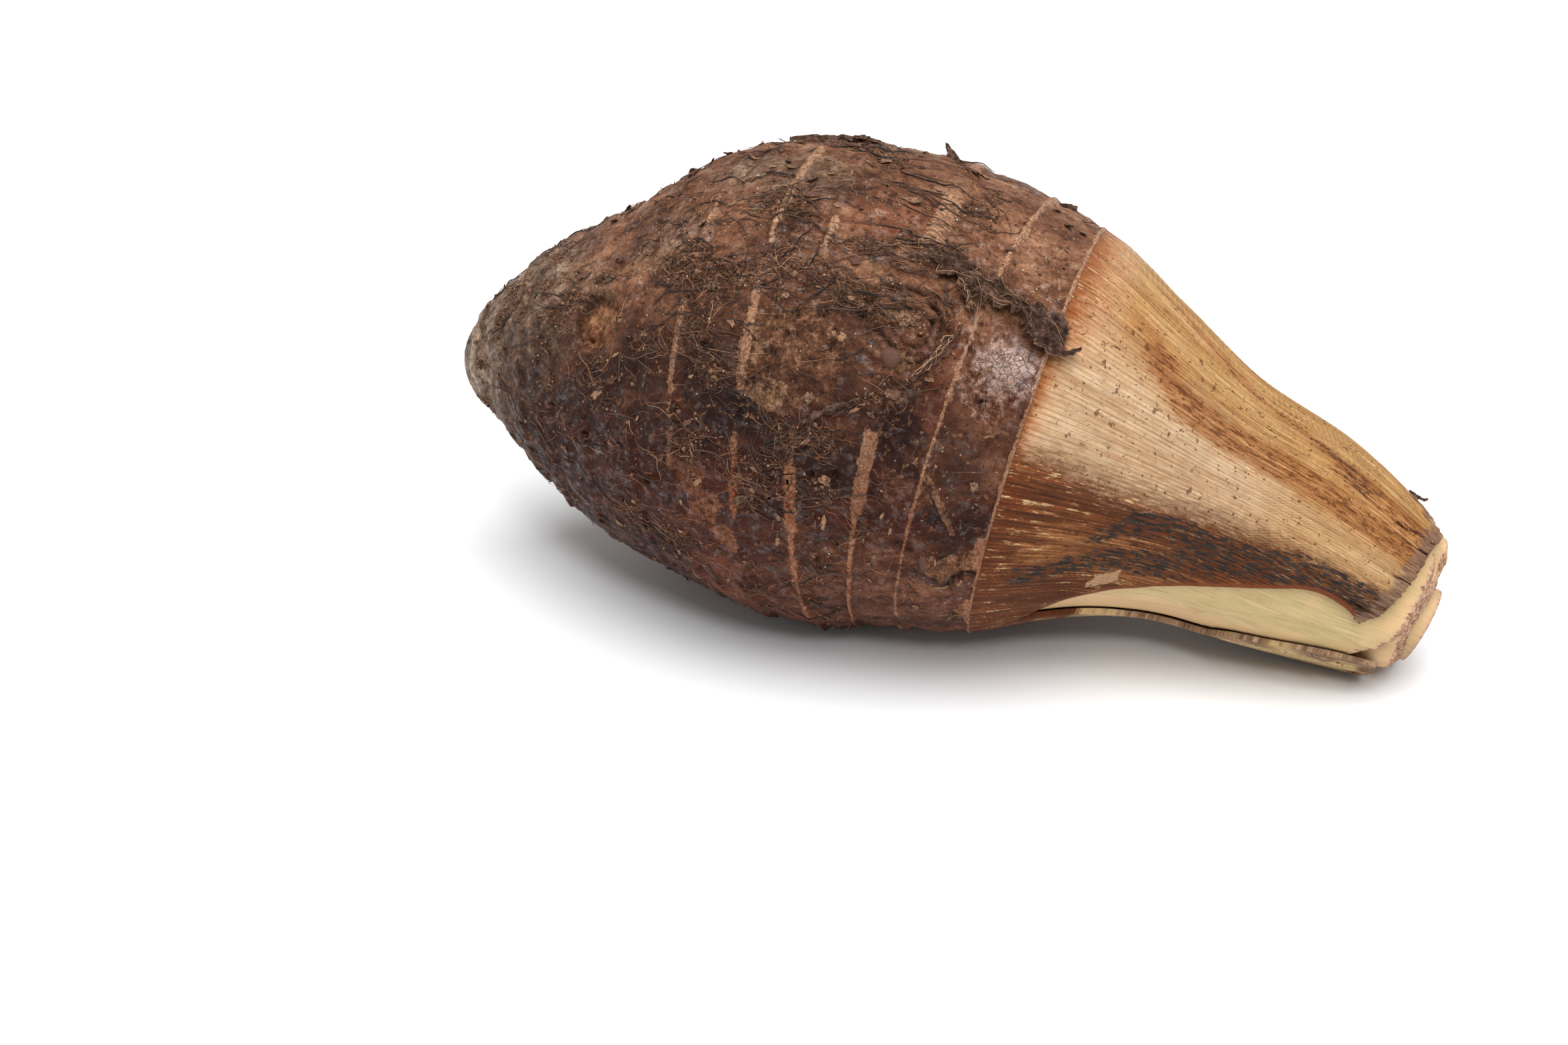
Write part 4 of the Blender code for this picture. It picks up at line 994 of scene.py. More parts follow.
def leaf_masks(x, angle, cut_x):
    """The colours laid over the outer leaf base, from 0 to 1."""
    mirrored = np.where(angle < -25.0, -angle - 50.0, angle)  # the far side has like streaks
    away = np.radians(mirrored - curve(BROWN_BELOW, 1, x)) * radius(x)
    foot = np.interp(mirrored, *FOOT_FRINGE)
    spot = along_veins(x, angle, 0.35)
    upper = streak(x, mirrored, BLACK_UPPER, 3.4, 63, 0.3) * ramp(74.0, 86.0, x)
    lower = streak(x, mirrored, BLACK_LOWER, 4.2, 64, 0.3) * ramp(62.0, 72.0, x)
    brown_wide = np.interp(x, (80.0, 125.0), (5.6, 3.6))
    brown = streak(x, mirrored, STREAK_BROWN, brown_wide, 66, 0.3) * ramp(66.0, 84.0, x)
    top = streak(x, mirrored, STREAK_TOP, 2.4, 69, 0.3) * ramp(64.0, 90.0, x)
    straw = streak(x, mirrored, STRAW_BELOW, 5.5, 71, 0.5) * ramp(62.0, 74.0, x) * ramp(112.0, 96.0, x)
    lip = ramp(-185.0, -205.0, angle) * ramp(80.0, 94.0, x)
    smudge = top * ramp(104.0, 112.0, x) * ramp(140.0, 130.0, x)
    peel_x, peel_angle = x - 88.3 - 0.4 * np.sin(angle), angle - 108.0 + 0.9 * (x - 88.3)
    peeled = ramp(2.9, 2.4, np.abs(peel_x)) * ramp(3.4, 2.7, np.abs(peel_angle + 0.5 * np.sin(3 * x)))
    frayed = ramp(4.6, 1.4, cut_x - x + 1.2 * uneven(spot, 4.0, 74, 2))
    lip_edge = 0.8 * ramp(5.0, 1.0, outer_edges(x, angle)[1]) * ramp(84.0, 100.0, x)
    gold = ramp(62.0, 76.0, x) * ramp(50.0, 14.0, np.abs(mirrored)) + 0.65 * ramp(104.0, 124.0, x)
    return {
        "below": 1.3 * ramp(-8.0, 13.0, away),
        "straw": straw,
        "lip": lip,
        "black": np.clip(np.maximum(upper, lower) + 0.6 * smudge, 0, 1),
        "brown": np.clip(brown + 0.9 * top, 0, 1),
        "root_edge": np.exp(-(x - start) / foot) * ramp(60.0, 61.4, x),
        "soiled": np.exp(-(((x - 80.0) / 18.0) ** 2) - ((mirrored - 36.0) / 20.0) ** 2),
        "cut": np.maximum(frayed, lip_edge * (1 + uneven(spot, 4.0, 78, 2))),
        "margin": ramp(1.8, 0.2, outer_edges(x, angle)[0]) * ramp(76.0, 82.0, x),
        "gold": np.clip(gold, 0, 1),
        "cracks": cracked(x, angle),
        "peeled": peeled,
        "veins": along_veins(x, angle, 0.05),
    }


# Dried petiole base: cellulose fibre with a thin waxy skin, shrunk onto its veins. The eye sees straw and
# gold silk with brown and black streaks where it rotted, orange at the foot, and grey fibre at the cut.
straw = new_material("dried_leaf_base", 0.46, Specular_IOR_Level=0.16)
veins = add("Attribute", attribute_name="veins", out=1)
where = add("TexCoord", out=3)
mask = {name: add("Attribute", attribute_name=name, out=2) for name in (
    "below", "straw", "lip", "black", "brown", "root_edge", "cut", "margin", "gold", "cracks", "peeled",
    "soiled")}
silk = add("TexNoise", {"Vector": veins, "Scale": 1.9, "Detail": 6.0, "Roughness": 0.72})
drift = add("TexNoise", {"Vector": veins, "Scale": 0.34, "Detail": 5.0, "Roughness": 0.65})
cloud = add("TexNoise", {"Vector": where, "Scale": 300.0, "Detail": 6.0, "Roughness": 0.7})
blended = add("Math", {0: drift, 1: 0.42}, operation="MULTIPLY")
blended = add("Math", {0: silk, 1: 0.58, 2: blended}, operation="MULTIPLY_ADD")
spots = add("Mapping", {"Vector": veins, "Scale": (7.0, 1.0, 1.0)})
spots = add("TexNoise", {"Vector": spots, "Scale": 0.8, "Detail": 6.0, "Roughness": 0.7})
along_silk = add("Math", {0: blended, 1: 0.5}, operation="SUBTRACT")
in_spots = add("Math", {0: spots, 1: 0.5}, operation="SUBTRACT")
in_both = add("Math", {0: in_spots, 1: along_silk}, operation="ADD")
cloud_edge = along_silk
cream = add("ValToRGB", {0: blended}, stops=((0.32, "#97653c"), (0.68, "#e4d1b7"), (0.5, "#caa781")))
gold = add("ValToRGB", {0: blended}, stops=((0.38, "#875628"), (0.62, "#dab684"), (0.5, "#b58852")))
colour = layer(cream, gold, mask["gold"], 1.0, 2.0, 0.1, 0.9)
orange = add("ValToRGB", {0: blended}, stops=((0.38, "#8b3f15"), (0.62, "#c57d40")))
cloud_edge = in_both
colour = layer(colour, orange, mask["root_edge"], 0.8, 2.0, 0.12, 0.8)
colour = layer(colour, paint("#79380f"), mask["root_edge"], 0.8, 1.8, 0.6, 1.05)
streaked = add("ValToRGB", {0: blended}, stops=((0.38, "#784522"), (0.62, "#cf9560"), (0.5, "#a56b3c")))
under_colour = add("ValToRGB", {0: blended}, stops=((0.38, "#331104"), (0.62, "#964f1e"), (0.5, "#5c2808")))
colour = layer(colour, under_colour, mask["below"], 0.95, 2.0, 0.15, 0.85)
colour = layer(colour, streaked, mask["straw"], 0.7, 2.6, 0.25, 0.85)
pale_lip = add("ValToRGB", {0: blended}, stops=((0.34, "#8a5a34"), (0.56, "#e0c896"), (0.46, "#cba878")))
colour = layer(colour, pale_lip, mask["lip"], 0.95, 3.0, 0.25, 0.6)
cloud_edge = in_spots
colour = layer(colour, streaked, mask["brown"], 0.85, 2.2, 0.2, 0.7)
colour = layer(colour, paint("#572a12"), mask["brown"], 0.75, 5.0, 0.95, 1.2)
rot = add("ValToRGB", {0: silk}, stops=((0.34, "#1d1817"), (0.66, "#544b46"), (0.52, "#332d2a")))
colour = layer(colour, paint("#5a331f"), mask["black"], 0.6, 3.0, 0.4, 0.7)
blotches = add("Mapping", {"Vector": veins, "Scale": (8.0, 1.0, 1.0)})
blotches = add("TexNoise", {"Vector": blotches, "Scale": 1.0, "Detail": 4.0, "Roughness": 0.6})
cloud_edge = add("Math", {0: blotches, 1: 0.5}, operation="SUBTRACT")
rotted = add("MapRange", {0: mask["black"], 1: 0.0, 2: 0.8, 3: -0.6, 4: 1.25})
colour = layer(colour, rot, rotted, 0.94, 6.5, 1.1, 1.3)
colour = layer(colour, paint("#bd9673"), mask["peeled"], 0.9, 0.6, 0.4, 0.6)
cloud_edge = along_silk
colour = layer(colour, paint("#7d4226"), mask["margin"], 0.85, 0.8)
fibre_grey = add("ValToRGB", {0: silk}, stops=((0.36, "#543a2c"), (0.62, "#b5957a"), (0.5, "#806150")))
colour = layer(colour, fibre_grey, mask["cut"], 0.85, 1.6, 0.2, 0.8)
colour = layer(colour, paint("#2b170f"), mask["cracks"], 0.9, 0.5, 0.3, 0.7)
colour = shade(colour, cloud, 0.86, 1.12)
vein_lines = {"Vector": veins, "Scale": 0.273, "Distortion": 2.4, "Detail": 3.0, "Detail Scale": 0.8}
vein_lines = add("TexWave", vein_lines, 1, bands_direction="Y")
vein_lines = add("MapRange", {0: vein_lines, 1: 0.0, 2: 0.35, 3: 0.78, 4: 1.06})
colour = add("VectorMath", {0: colour, 3: vein_lines}, operation="SCALE")
# stains and crumbs of soil, up to 1 mm across
for pattern_scale, low, high, strength, speck in (
        (850.0, 0.645, 0.675, 0.8, "#502912"), (430.0, 0.66, 0.685, 0.75, "#5f351b")):
    specks = add("TexNoise", {"Vector": where, "Scale": pattern_scale, "Detail": 3.0, "Roughness": 0.6})
    specks = add("Math", {0: mask["soiled"], 1: 0.03, 2: specks}, operation="MULTIPLY_ADD")
    specks = add("MapRange", {0: specks, 1: low, 2: high, 3: 0.0, 4: strength})
    colour = add("Mix", {0: specks, 6: colour, 7: paint(speck)}, 2, data_type="RGBA")
wire(Base_Color=colour)
rubbed = add("Math", {0: mask["cut"], 1: 0.3, 2: 0.46}, operation="MULTIPLY_ADD")
rubbed = add("Math", {0: mask["black"], 1: 0.2, 2: rubbed}, operation="MULTIPLY_ADD")
wire(Roughness=rubbed)
relief = add("Math", {0: silk, 1: 1.6, 2: cloud}, operation="MULTIPLY_ADD")
wire(Normal=add("Bump", {"Height": relief, "Strength": 0.8, "Distance": 0.0005}))

make_sheet("leaf_base_outer_skin", outer, inner, straw, leaf_masks(x, angle, cut_x),
           ("leaf_base_outer",))

# ----------------------------------------------------------------------------------------------------------
# The younger leaf bases inside it: the second, which shows in the opening, the third beyond its cut, and
# the rolled heart. Fresh petiole tissue, smooth and pale, cut across with a knife, so that each cut edge
# has dried brown.
# ----------------------------------------------------------------------------------------------------------
# angle, x of the cut there
PALE_CUT = (
    (12, 151.2), (30, 151.8), (58, 151.9), (85, 151.4), (100, 149.4), (112, 146.8), (124, 144.2),
    (140, 142.5), (232, 141.5), (264, 149), (310, 151),
)
THIRD_CUT = (
    (-50, 152), (-10, 153), (22, 153.6), (40, 153.4), (70, 153.2), (100, 153.2), (130, 154.6), (165, 154.4),
    (250, 153),
)
# x, radius
HEART = ((95, 24), (110, 20), (126, 16.4), (140, 12.2), (150, 9.6), (156.5, 9.5))
# Where the second and the third begin inside the neck, and the angles where their edges meet
PALE_START_X = 72.0
THIRD_START_X = 84.0
PALE_SLIT = (-19, 30)
THIRD_SLIT_ANGLE = -110.0
# The gap between the outer and the second, and its width deep inside
GAP = 0.35
PALE_DEEP = 1.1


def pale_outside(x, angle):
    """The second leaf base fills the outer one, and swells a little into its opening."""
    middle = (curve(OPENING, 1, x) + curve(OPENING, 2, x)) / 2
    angle = np.where(angle > middle, angle - 360.0, angle)
    covered = ramp(0.0, 8.0, outer_edge(x, angle))
    return edge_lift(x, angle) - outer_thick(x, angle) - GAP - 0.25 - (PALE_DEEP - GAP) * covered


# Fresh petiole: wet parenchyma under a smooth skin, with veins 0.7 mm apart. The eye sees cream with a
# green cast and a soft glow, finely lined along, pink just inside the cut and a crust of dry brown fibre on
# the cut itself.
flesh = new_material("pale_petiole", 0.42, 1.4, Subsurface_Weight=0.12, Subsurface_Scale=0.004)
veins = add("Attribute", attribute_name="veins", out=1)
where = add("TexCoord", out=3)
cut = add("Attribute", attribute_name="cut", out=2)
green_share = add("Attribute", attribute_name="green", out=2)
lines = add("TexNoise", {"Vector": veins, "Scale": 1.9, "Detail": 5.0, "Roughness": 0.65})
cloud = add("TexNoise", {"Vector": where, "Scale": 150.0, "Detail": 4.0, "Roughness": 0.6})
cloud_edge = add("Math", {0: lines, 1: 0.5}, operation="SUBTRACT")
cream = add("ValToRGB", {0: lines}, stops=((0.3, "#ab8855"), (0.66, "#d6be92")))
green = add("ValToRGB", {0: lines}, stops=((0.3, "#9b8852"), (0.66, "#c6b67f")))
greened = add("Math", {0: cloud, 1: 0.5, 2: green_share}, operation="MULTIPLY_ADD")
greened = add("MapRange", {0: greened, 1: 0.4, 2: 1.1})
colour = add("Mix", {0: greened, 6: cream, 7: green}, 2, data_type="RGBA")
tanned = add("Attribute", attribute_name="tanned", out=2)
tan = add("Math", {0: tanned, 1: 0.35, 2: cloud}, operation="MULTIPLY_ADD")
tan = add("MapRange", {0: tan, 1: 0.5, 2: 0.8, 3: 0.0, 4: 0.8})
colour = add("Mix", {0: tan, 6: colour, 7: paint("#d6b083")}, 2, data_type="RGBA")
pink = add("MapRange", {0: cut, 1: 0.25, 2: 0.6, 3: 0.0, 4: 0.5})
colour = add("Mix", {0: pink, 6: colour, 7: paint("#cda58f")}, 2, data_type="RGBA")
fibres = add("Mapping", {"Vector": where, "Scale": (0.3, 1.0, 1.0)})
fibres = add("TexNoise", {"Vector": fibres, "Scale": 900.0, "Detail": 5.0, "Roughness": 0.7})
crust = add("ValToRGB", {0: fibres}, stops=((0.38, "#5f3a28"), (0.62, "#d9b799"), (0.5, "#9c7156")))
crusted = add("Math", {0: cloud_edge, 1: 2.4, 2: cut}, operation="MULTIPLY_ADD")
crusted = add("MapRange", {0: crusted, 1: 0.7, 2: 0.95, 3: 0.0, 4: 0.9})
colour = add("Mix", {0: crusted, 6: colour, 7: crust}, 2, data_type="RGBA")
wire(Base_Color=colour)
wire(Roughness=add("MapRange", {0: crusted, 1: 0.0, 2: 0.9, 3: 0.4, 4: 0.85}))
relief = add("Math", {0: cut, 1: 1.5, 2: 0.35}, operation="MULTIPLY_ADD")
relief = add("Math", {0: lines, 1: relief}, operation="MULTIPLY")
wire(Normal=add("Bump", {"Height": relief, "Strength": 0.5, "Distance": 0.0004}))


def petiole_masks(x, angle, cut_x, band, green):
    """Where a pale leaf base is crusted at its cut, how green it is, and where it has dried tan."""
    ragged = 0.5 * band * uneven(along_veins(x, angle, 1.0), 2.4, 81, 3)
    return {
        "cut": ramp(band, 0.2, cut_x - x + ragged) * np.ones(x.shape),
        "green": green * ramp(132.0, 108.0, angle),
        "tanned": ramp(112.0, 134.0, angle) + 0.6 * ramp(140.0, 150.0, x),
        "veins": along_veins(x, angle, 0.05),
    }


def petiole_sheet(name, node, x, angle, cut_x, off, thick, slant, band, green):
    """One pale leaf base as a closed sheet with fine veins and a rough cut."""
    fine = 0.05 * np.sin(2 * np.pi * along_veins(x, angle)[..., 1] / 1.3)
    fine = fine + 0.10 * uneven(along_veins(x, angle, 0.05), 3.0, 82, 2)
    rough = 0.22 * uneven(along_veins(x, angle, 0.8), 1.3, 83, 2) * ramp(2.0, 0.2, cut_x - x)
    outer = surface(x, angle, off + fine * 0.7 + rough)
    inner = surface(x + slant, angle, off - thick)
    outer[..., 2] = np.maximum(outer[..., 2], 0.15)
    inner[..., 2] = np.maximum(inner[..., 2], 0.3)
    masks = petiole_masks(x, angle, cut_x, band, green)
    make_sheet(name, outer, inner, flesh, masks, (node,),
               dict(masks, cut=ramp(1.2, 0.1, cut_x - x)))


f, u = lattice(spaced((0.0, 0.9, 34), (0.91, 1.0, 14)), np.linspace(0.0, 1.0, 340))
slit = 1.0 + (PALE_SLIT[1] - 1.0) * ramp(0.72, 0.9, f)
angle = PALE_SLIT[0] + slit + u * (360.0 - 2 * slit)
cut_x = ragged_cut(PALE_CUT, angle, 0.3, 1.4, 84, 2)
x = PALE_START_X + f * (cut_x - PALE_START_X)
petiole_sheet("leaf_base_pale_skin", "leaf_base_pale", x, angle, cut_x, pale_outside(x, angle), 2.0,
              1.2 * ramp(110.0, 140.0, x), 1.3, 0.55)

f, u = lattice(spaced((0.0, 0.86, 20), (0.88, 1.0, 14)), np.linspace(0.0, 1.0, 260))
slit = 2.0 + 8.0 * f**3
angle = THIRD_SLIT_ANGLE + slit + u * (360.0 - 2 * slit)
cut_x = ragged_cut(THIRD_CUT, angle, 0.25, 1.4, 85, 2)
x = THIRD_START_X + f * (cut_x - THIRD_START_X)
above = ramp(-46.0, -34.0, angle) * ramp(8.0, -4.0, angle)
under = ramp(108.0, 126.0, angle) * ramp(248.0, 228.0, angle)
off = 3.1 * (above + under) * ramp(143.0, 150.0, x) - 6.1 + 1.4 * above * ramp(150.9, 153.0, x)
petiole_sheet("leaf_base_third_skin", "leaf_base_third", x, angle, cut_x, off, 2.6,
              1.6 * ramp(120.0, 150.0, x), 0.5, 0.2)

heart_end = HEART[-1][0]
rows, turns = lattice(np.linspace(HEART[0][0], heart_end, 60), np.linspace(0.0, 360.0, 150, endpoint=False))
roll = 0.25 * np.sin(np.radians(turns) * 2 + 1.0) + 0.07 * np.sin(np.radians(turns) * 34)
heart = surface(rows, turns, curve(HEART, 1, rows) - radius(rows) + roll * ramp(100.0, 130.0, rows))
heart[..., 2] -= 3.6 * ramp(141.0, 152.5, rows)
ends = np.array([heart[0].mean(axis=0), heart[-1].mean(axis=0) + np.array([0.5, 0.0, -0.2])])
heart_masks = {
    name: np.concatenate([values.reshape(rows.size, -1), np.zeros((2, values[0, 0].size))]).squeeze()
    for name, values in petiole_masks(rows, turns, heart_end, 0.9, 0.35).items()}
make_piece("leaf_heart_skin", (heart, ends), ring_faces(*rows.shape), flesh,
           heart_masks, ("leaf_heart",))

# ----------------------------------------------------------------------------------------------------------
# The dry husk: what is left of older leaf bases, a torn dark strip that runs from beside the eye over the
# newest ring, a curled flake of bark on top, and two stiff ends of fibre. Rotted leaf tissue, still rooted
# in its ring.
# ----------------------------------------------------------------------------------------------------------
# the radius that makes mm out of degrees around the husk, and the way it faces, round from the top
HUSK_RADIUS = 54.0
HUSK_LEAN = math.radians(40.0)
# x, angle, half width, height off the skin
HUSK = (
    (32.5, 30, 1.8, 0.9), (34.8, 31.2, 2.8, 1.4), (38.5, 33, 3.3, 2.1), (43.5, 34.4, 3.5, 2.5),
    (47, 34.6, 3, 2.4), (51, 35, 2.6, 2.2), (55, 35.6, 3, 2.1), (58.6, 37.4, 3.8, 2.4),
    (60.6, 40.4, 3.2, 2.5), (61.6, 42.8, 2, 2.2),
)


def skin_height(x, angle):
    """The height of whatever lies under a scrap of husk: corm, or leaf base beyond the newest ring."""
    return np.where(x < NECK_RING_X, corm_relief(x, 2 * x - leaned(x, angle), angle), 0.4)


# Rotted husk: weathered dead leaf tissue and soil. The eye sees crumpled dark felt with paler torn edges.
felt = new_material("rotted_husk", 0.88, Specular_IOR_Level=0.2)
where = add("TexCoord", out=3)
crumple = add("TexNoise", {"Vector": where, "Scale": 420.0, "Detail": 8.0, "Roughness": 0.75})
grit = add("TexNoise", {"Vector": where, "Scale": 1500.0, "Detail": 3.0, "Roughness": 0.7})
colour = add("ValToRGB", {0: crumple}, stops=((0.36, "#1e120d"), (0.66, "#866a5c"), (0.5, "#4c352a")))
colour = shade(colour, grit, 0.7, 1.3)
worn = add("Attribute", attribute_name="worn", out=2)
worn = add("Math", {0: grit, 1: worn}, operation="MULTIPLY")
worn = add("MapRange", {0: worn, 1: 0.28, 2: 0.62, 3: 0.0, 4: 0.8})
colour = add("Mix", {0: worn, 6: colour, 7: paint("#a5816a")}, 2, data_type="RGBA")
wire(Base_Color=colour)
relief = add("Math", {0: crumple, 1: 2.0, 2: grit}, operation="MULTIPLY_ADD")
wire(Normal=add("Bump", {"Height": relief, "Strength": 0.9, "Distance": 0.0006}))


def torn_sheet(name, table, thick, seed, stands_for=(), rows=150, columns=40, ragged=0.6):
    """A torn sheet along a line over the skin: a table of x, angle, half width and height off the skin."""
    t = np.linspace(0.0, 1.0, rows)
    numbered = [(k / (len(table) - 1), *row) for k, row in enumerate(table)]
    x, angle, half, lift = (curve(numbered, column, t) for column in (1, 2, 3, 4))
    around = np.radians(angle) * HUSK_RADIUS
    run = np.hypot(np.gradient(x), np.gradient(around))
    across = np.linspace(-1.0, 1.0, columns)
    edge = np.stack(np.broadcast_arrays(np.cumsum(run)[:, None], np.sign(across) * 5.0 + seed, 0.0), -1)
    wide = half[:, None] * across * (1.0 + ragged * uneven(edge, 2.2, seed, 5) * across**2)
    place = x[:, None] - (np.gradient(around) / run)[:, None] * wide
    turned = np.degrees((around[:, None] + (np.gradient(x) / run)[:, None] * wide) / HUSK_RADIUS)
    bow = lift[:, None] * (0.85 + 0.3 * across - 0.15 * across**2)
    bow = bow + 0.2 * half[:, None] * uneven(edge, 6.0, seed + 1) * across
    low = skin_height(place, turned) + np.maximum(bow, 0.5 * lift[:, None])
    spot = surface(place, turned, low)
    flat = np.stack(np.broadcast_arrays(np.cumsum(run)[:, None] * 0.5, wide, 0.0), -1)
    crumpled = thick * (0.5 * uneven(flat, 3.6, seed + 2, 3) + 0.3 * uneven(spot, 1.1, seed + 3, 3))
    outer = surface(place, turned, low + thick * (1.0 - 0.65 * np.abs(across) ** 3) + crumpled)
    inner = surface(place, turned, low + 0.5 * crumpled)
    worn = np.abs(across) ** 6 + 0.5 * ramp(0.85, 1.0, t)[:, None]
    make_sheet(name, outer, inner, felt, {"worn": worn}, stands_for)
    return outer


husk = torn_sheet("husk_strip_felt", HUSK, 1.2, 91, ("husk_strip",))
# the shred that hangs from its lower edge, the hook at its end, a bundle of dry leaf fibre, and a dead stick
SHREDS = {
    "husk_shred": ((39.6, 34.5, 1.8, 2.6), (41.6, 37, 1.6, 3), (43.4, 39.4, 1.3, 2.6), (44.6, 41.2, 0.7, 2)),
    "husk_hook": (
        (60.4, 40.4, 2.2, 2.6), (62.2, 43, 1.3, 2.6), (64.4, 42.2, 0.8, 2.6), (66.2, 39.6, 0.35, 2.6)),
    "leaf_fibre_bundle": (
        (35.6, 61, 0.4, 0.4), (38, 57, 0.9, 0.8), (40.4, 52, 1.2, 1.1), (42.2, 48, 0.8, 0.9),
        (43.4, 45, 0.3, 0.8)),
    "dead_stick": ((17.8, 74.5, 0.4, 0.5), (21, 72, 0.7, 0.8), (25, 69.5, 0.7, 1), (28.2, 67.6, 0.4, 1.2)),
}
shreds = {name: torn_sheet(name, table, 0.7, 96 + 4 * k, rows=44, columns=14, ragged=0.7)
          for k, (name, table) in enumerate(SHREDS.items())}


def on_sheet(grid, i, j):
    """Places on a sheet between the points of its grid, and beyond its long sides."""
    i = np.clip(i, 0.0, grid.shape[0] - 1.001)
    row, column = np.floor(i).astype(int), np.clip(np.floor(j).astype(int), 0, grid.shape[1] - 2)
    here, there = (grid[k, column] + (grid[k, column + 1] - grid[k, column]) * (j - column)[..., None]
                   for k in (row, row + 1))
    return here + (there - here) * (i - row)[..., None]


# fibres that lie along the husk and the bundle and stick out of their torn edges
for name, sheet, count, widths in (
        ("husk_fibres", husk, 34, (0.07, 0.14)),
        ("bundle_fibres", shreds["leaf_fibre_bundle"], 26, (0.12, 0.24)),
        ("husk_dark_fibres", husk, 50, (0.1, 0.22)),
        ("shred_fibres", shreds["husk_shred"], 22, (0.12, 0.24))):
    share = np.linspace(0.0, 1.0, HAIR_STEPS)
    length, width = sheet.shape[:2]
    long = random.uniform(0.08, 0.3, count)[:, None] * length * random.choice([-1.0, 1.0], count)[:, None]
    i = random.uniform(0, 0.85 * length, count)[:, None] + long * share
    j = random.uniform(-0.02, 1.02, count)[:, None] * width
    j = j + random.normal(0.0, 0.45, count)[:, None] * width * share**2 + np.sin(share * 5.0 + j)
    lines = on_sheet(sheet, i, j)
    arch = 0.1 + random.uniform(0.0, 1.1, count)[:, None] * np.sin(np.pi * share) ** 2
    lines += arch[..., None] * np.array([0.0, -math.sin(HUSK_LEAN), math.cos(HUSK_LEAN)])
    points, faces, numbers = tubes(lines, random.uniform(*widths, count))
    fibre = fibre_materials["felted_fibres" if "dark" in name else "pale_root_hairs"]
    make_piece(name, (points,), faces, fibre,
               masks={"each": random.random(count)[numbers]}, sharp=180.0)

# soil caught in the husk
crumb_count = 300
scale = random.uniform(0.3, 0.9, crumb_count)
middle = on_sheet(husk, random.uniform(0.0, 1.0, crumb_count) * husk.shape[0],
                  random.uniform(0.02, 0.96, crumb_count) * husk.shape[1])
points, faces, numbers = crumbs(middle, scale)
make_piece("husk_soil", (points,), faces, felt,
           masks={"worn": (0.9 * random.random(crumb_count) ** 3)[numbers]})

# a scrap of dry leaf that curls off the cut end of the outer leaf base
LEAF_SCRAP = ((140.6, -19, 0.6, 0), (142.2, -20, 1.4, 0.2), (143.8, -21, 1.2, 0.9), (145, -22.5, 0.5, 1.6))
torn_sheet("leaf_scrap", LEAF_SCRAP, 0.6, 116, rows=40, columns=14, ragged=0.7)

# the flake of bark on top, torn along its ends and sides
x, angle = lattice(np.linspace(-3.0, 11.0, 60), np.linspace(-36.0, -20.0, 40))
share = (angle + 36.0) / 16.0
end = ((x - 4.0) / 7.0) ** 2
pale_end = ramp(-0.2, 1.6, x)
low = skin_height(x, angle) + 0.55 + 0.7 * (1 - share) ** 2 * end + 0.3 * end
x = x + 1.5 * np.sin(share * 5.0) * end + 1.6 * uneven(surface(x, angle, 0.0), 3.0, 92, 3) * end
angle = angle + 2.0 * uneven(surface(x, angle, 0.0), 4.5, 93, 4) * (2 * share - 1) ** 2
spot = surface(x, angle, 0.0)
crumpled = 0.25 * uneven(spot, 2.4, 94, 3)
worn = np.maximum(0.7 * np.abs(2 * share - 1) ** 4, 0.75 * pale_end)
make_sheet("husk_flake_bark", surface(x, angle, low + 0.8 + crumpled),
           surface(x, angle, low + 0.3 * crumpled), felt, {"worn": worn}, ("husk_flake",))

# the two stiff ends: piece, node, x, angle, sizes along, around and up, and how far the tip leans along x
for name, node, x0, angle0, size, lean in (
        ("husk_thorn_fibre", "husk_thorn", 27.5, -20.0, (1.1, 1.1, 3.2), 1.8),
        ("husk_scrap_fibre", "husk_scrap", 52.5, -22.0, (2.4, 1.5, 1.4), -2.2)):
    share, turn = lattice(np.linspace(0.0, 0.95, 30), np.linspace(0.0, 2 * np.pi, 28, endpoint=False))
    width = np.interp(share, (0.0, 0.3, 0.65, 0.9, 1.0), (1.15, 0.8, 0.5, 0.22, 0.08))
    width = width * (1 + 0.3 * np.sin(turn * 5 + share * 6) * (1 - share))
    x = x0 + size[0] * width * np.cos(turn) - lean * share**1.4
    angle = angle0 + size[1] * width * np.sin(turn)
    base = skin_height(np.array(x0), np.array(angle0)) - 0.4 + 0.5 * share
    spike = surface(x, angle, base + size[2] * share)
    spike += 0.12 * uneven(spike, 1.0, 95, 2)[..., None]
    ends = np.array([spike[0].mean(axis=0), spike[-1].mean(axis=0) + np.array([0.0, 0.0, 0.15])])
    worn = np.concatenate([(share * 0.8).ravel(), [0.0, 1.0]])
    make_piece(name, (spike, ends), ring_faces(*share.shape), felt, {"worn": worn}, (node,))

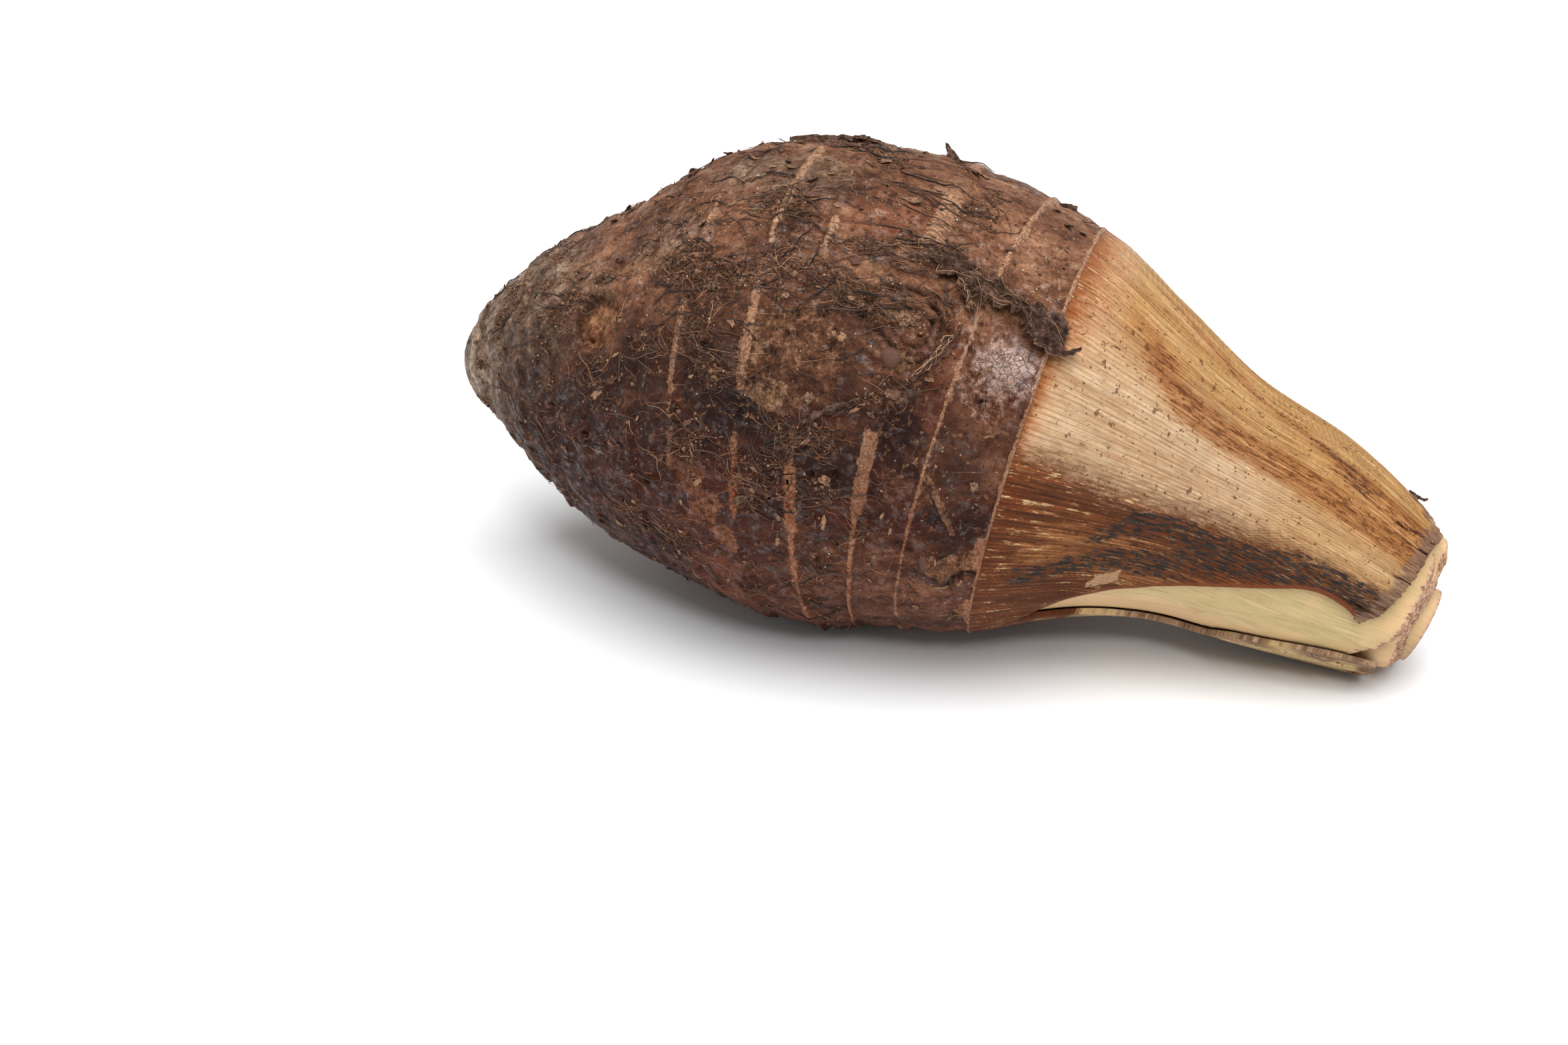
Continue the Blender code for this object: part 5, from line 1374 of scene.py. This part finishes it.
# ----------------------------------------------------------------------------------------------------------
# What it is shown with: the table that it lies on, covered in white card, soft studio light from above
# and from in front, and the camera.
# ----------------------------------------------------------------------------------------------------------
bpy.ops.mesh.primitive_plane_add(size=60.0, location=(0.0, 0.0, 0.0))
table_top = bpy.context.object
table_top.name = "table_top"
# White card: pressed paper, rolled smooth. The eye sees plain matt white with a soft shadow on it.
card = new_material("white_card", 0.9, Base_Color=(0.83, 0.84, 0.855, 1.0))
table_top.data.materials.append(card)

world = bpy.data.worlds.new("studio")
world.use_nodes = True
background = world.node_tree.nodes["Background"].inputs
background["Color"].default_value = (1.0, 0.99, 0.98, 1.0)
background["Strength"].default_value = 0.4
bpy.context.scene.world = world

# each light's name, the way it comes from, how many degrees wide its source looks, and its strength
for name, comes_from, wide, power in (
        ("soft_light_above", (0.1, -0.18, 1.0), 58.0, 3.55),
        ("soft_light_front", (0.3, -0.66, 0.69), 12.0, 0.75)):
    lamp = bpy.data.objects.new(name, bpy.data.lights.new(name, "SUN"))
    lamp.data.angle = math.radians(wide)
    lamp.data.energy = power
    lamp.rotation_euler = Vector(comes_from).to_track_quat("Z", "Y").to_euler()
    bpy.context.scene.collection.objects.link(lamp)

# the camera stands a little right of the root's near side, above it, and looks down at it
camera = bpy.data.objects.new("camera", bpy.data.cameras.new("camera"))
camera.data.lens = 60.0
camera.data.sensor_width = 36.0
camera.data.clip_start = 0.01
LEFT_RIGHT = np.array([0.9563, 0.2924, 0.0])
BACKWARDS = np.array([0.2605, -0.8521, 0.4540])
UPWARDS = np.cross(BACKWARDS, LEFT_RIGHT)
stands_at = np.array([0.0, 0.0, 59.0]) + 649.0 * BACKWARDS - 3.81 * LEFT_RIGHT - 37.42 * UPWARDS
camera.location = (stands_at + shift) / 1000.0
turn = np.eye(4)
turn[:3, 0], turn[:3, 1], turn[:3, 2] = LEFT_RIGHT, UPWARDS, BACKWARDS
camera.rotation_euler = Matrix(turn.tolist()).to_euler()
bpy.context.scene.collection.objects.link(camera)
bpy.context.scene.camera = camera
bpy.context.scene.view_settings.view_transform = "Standard"
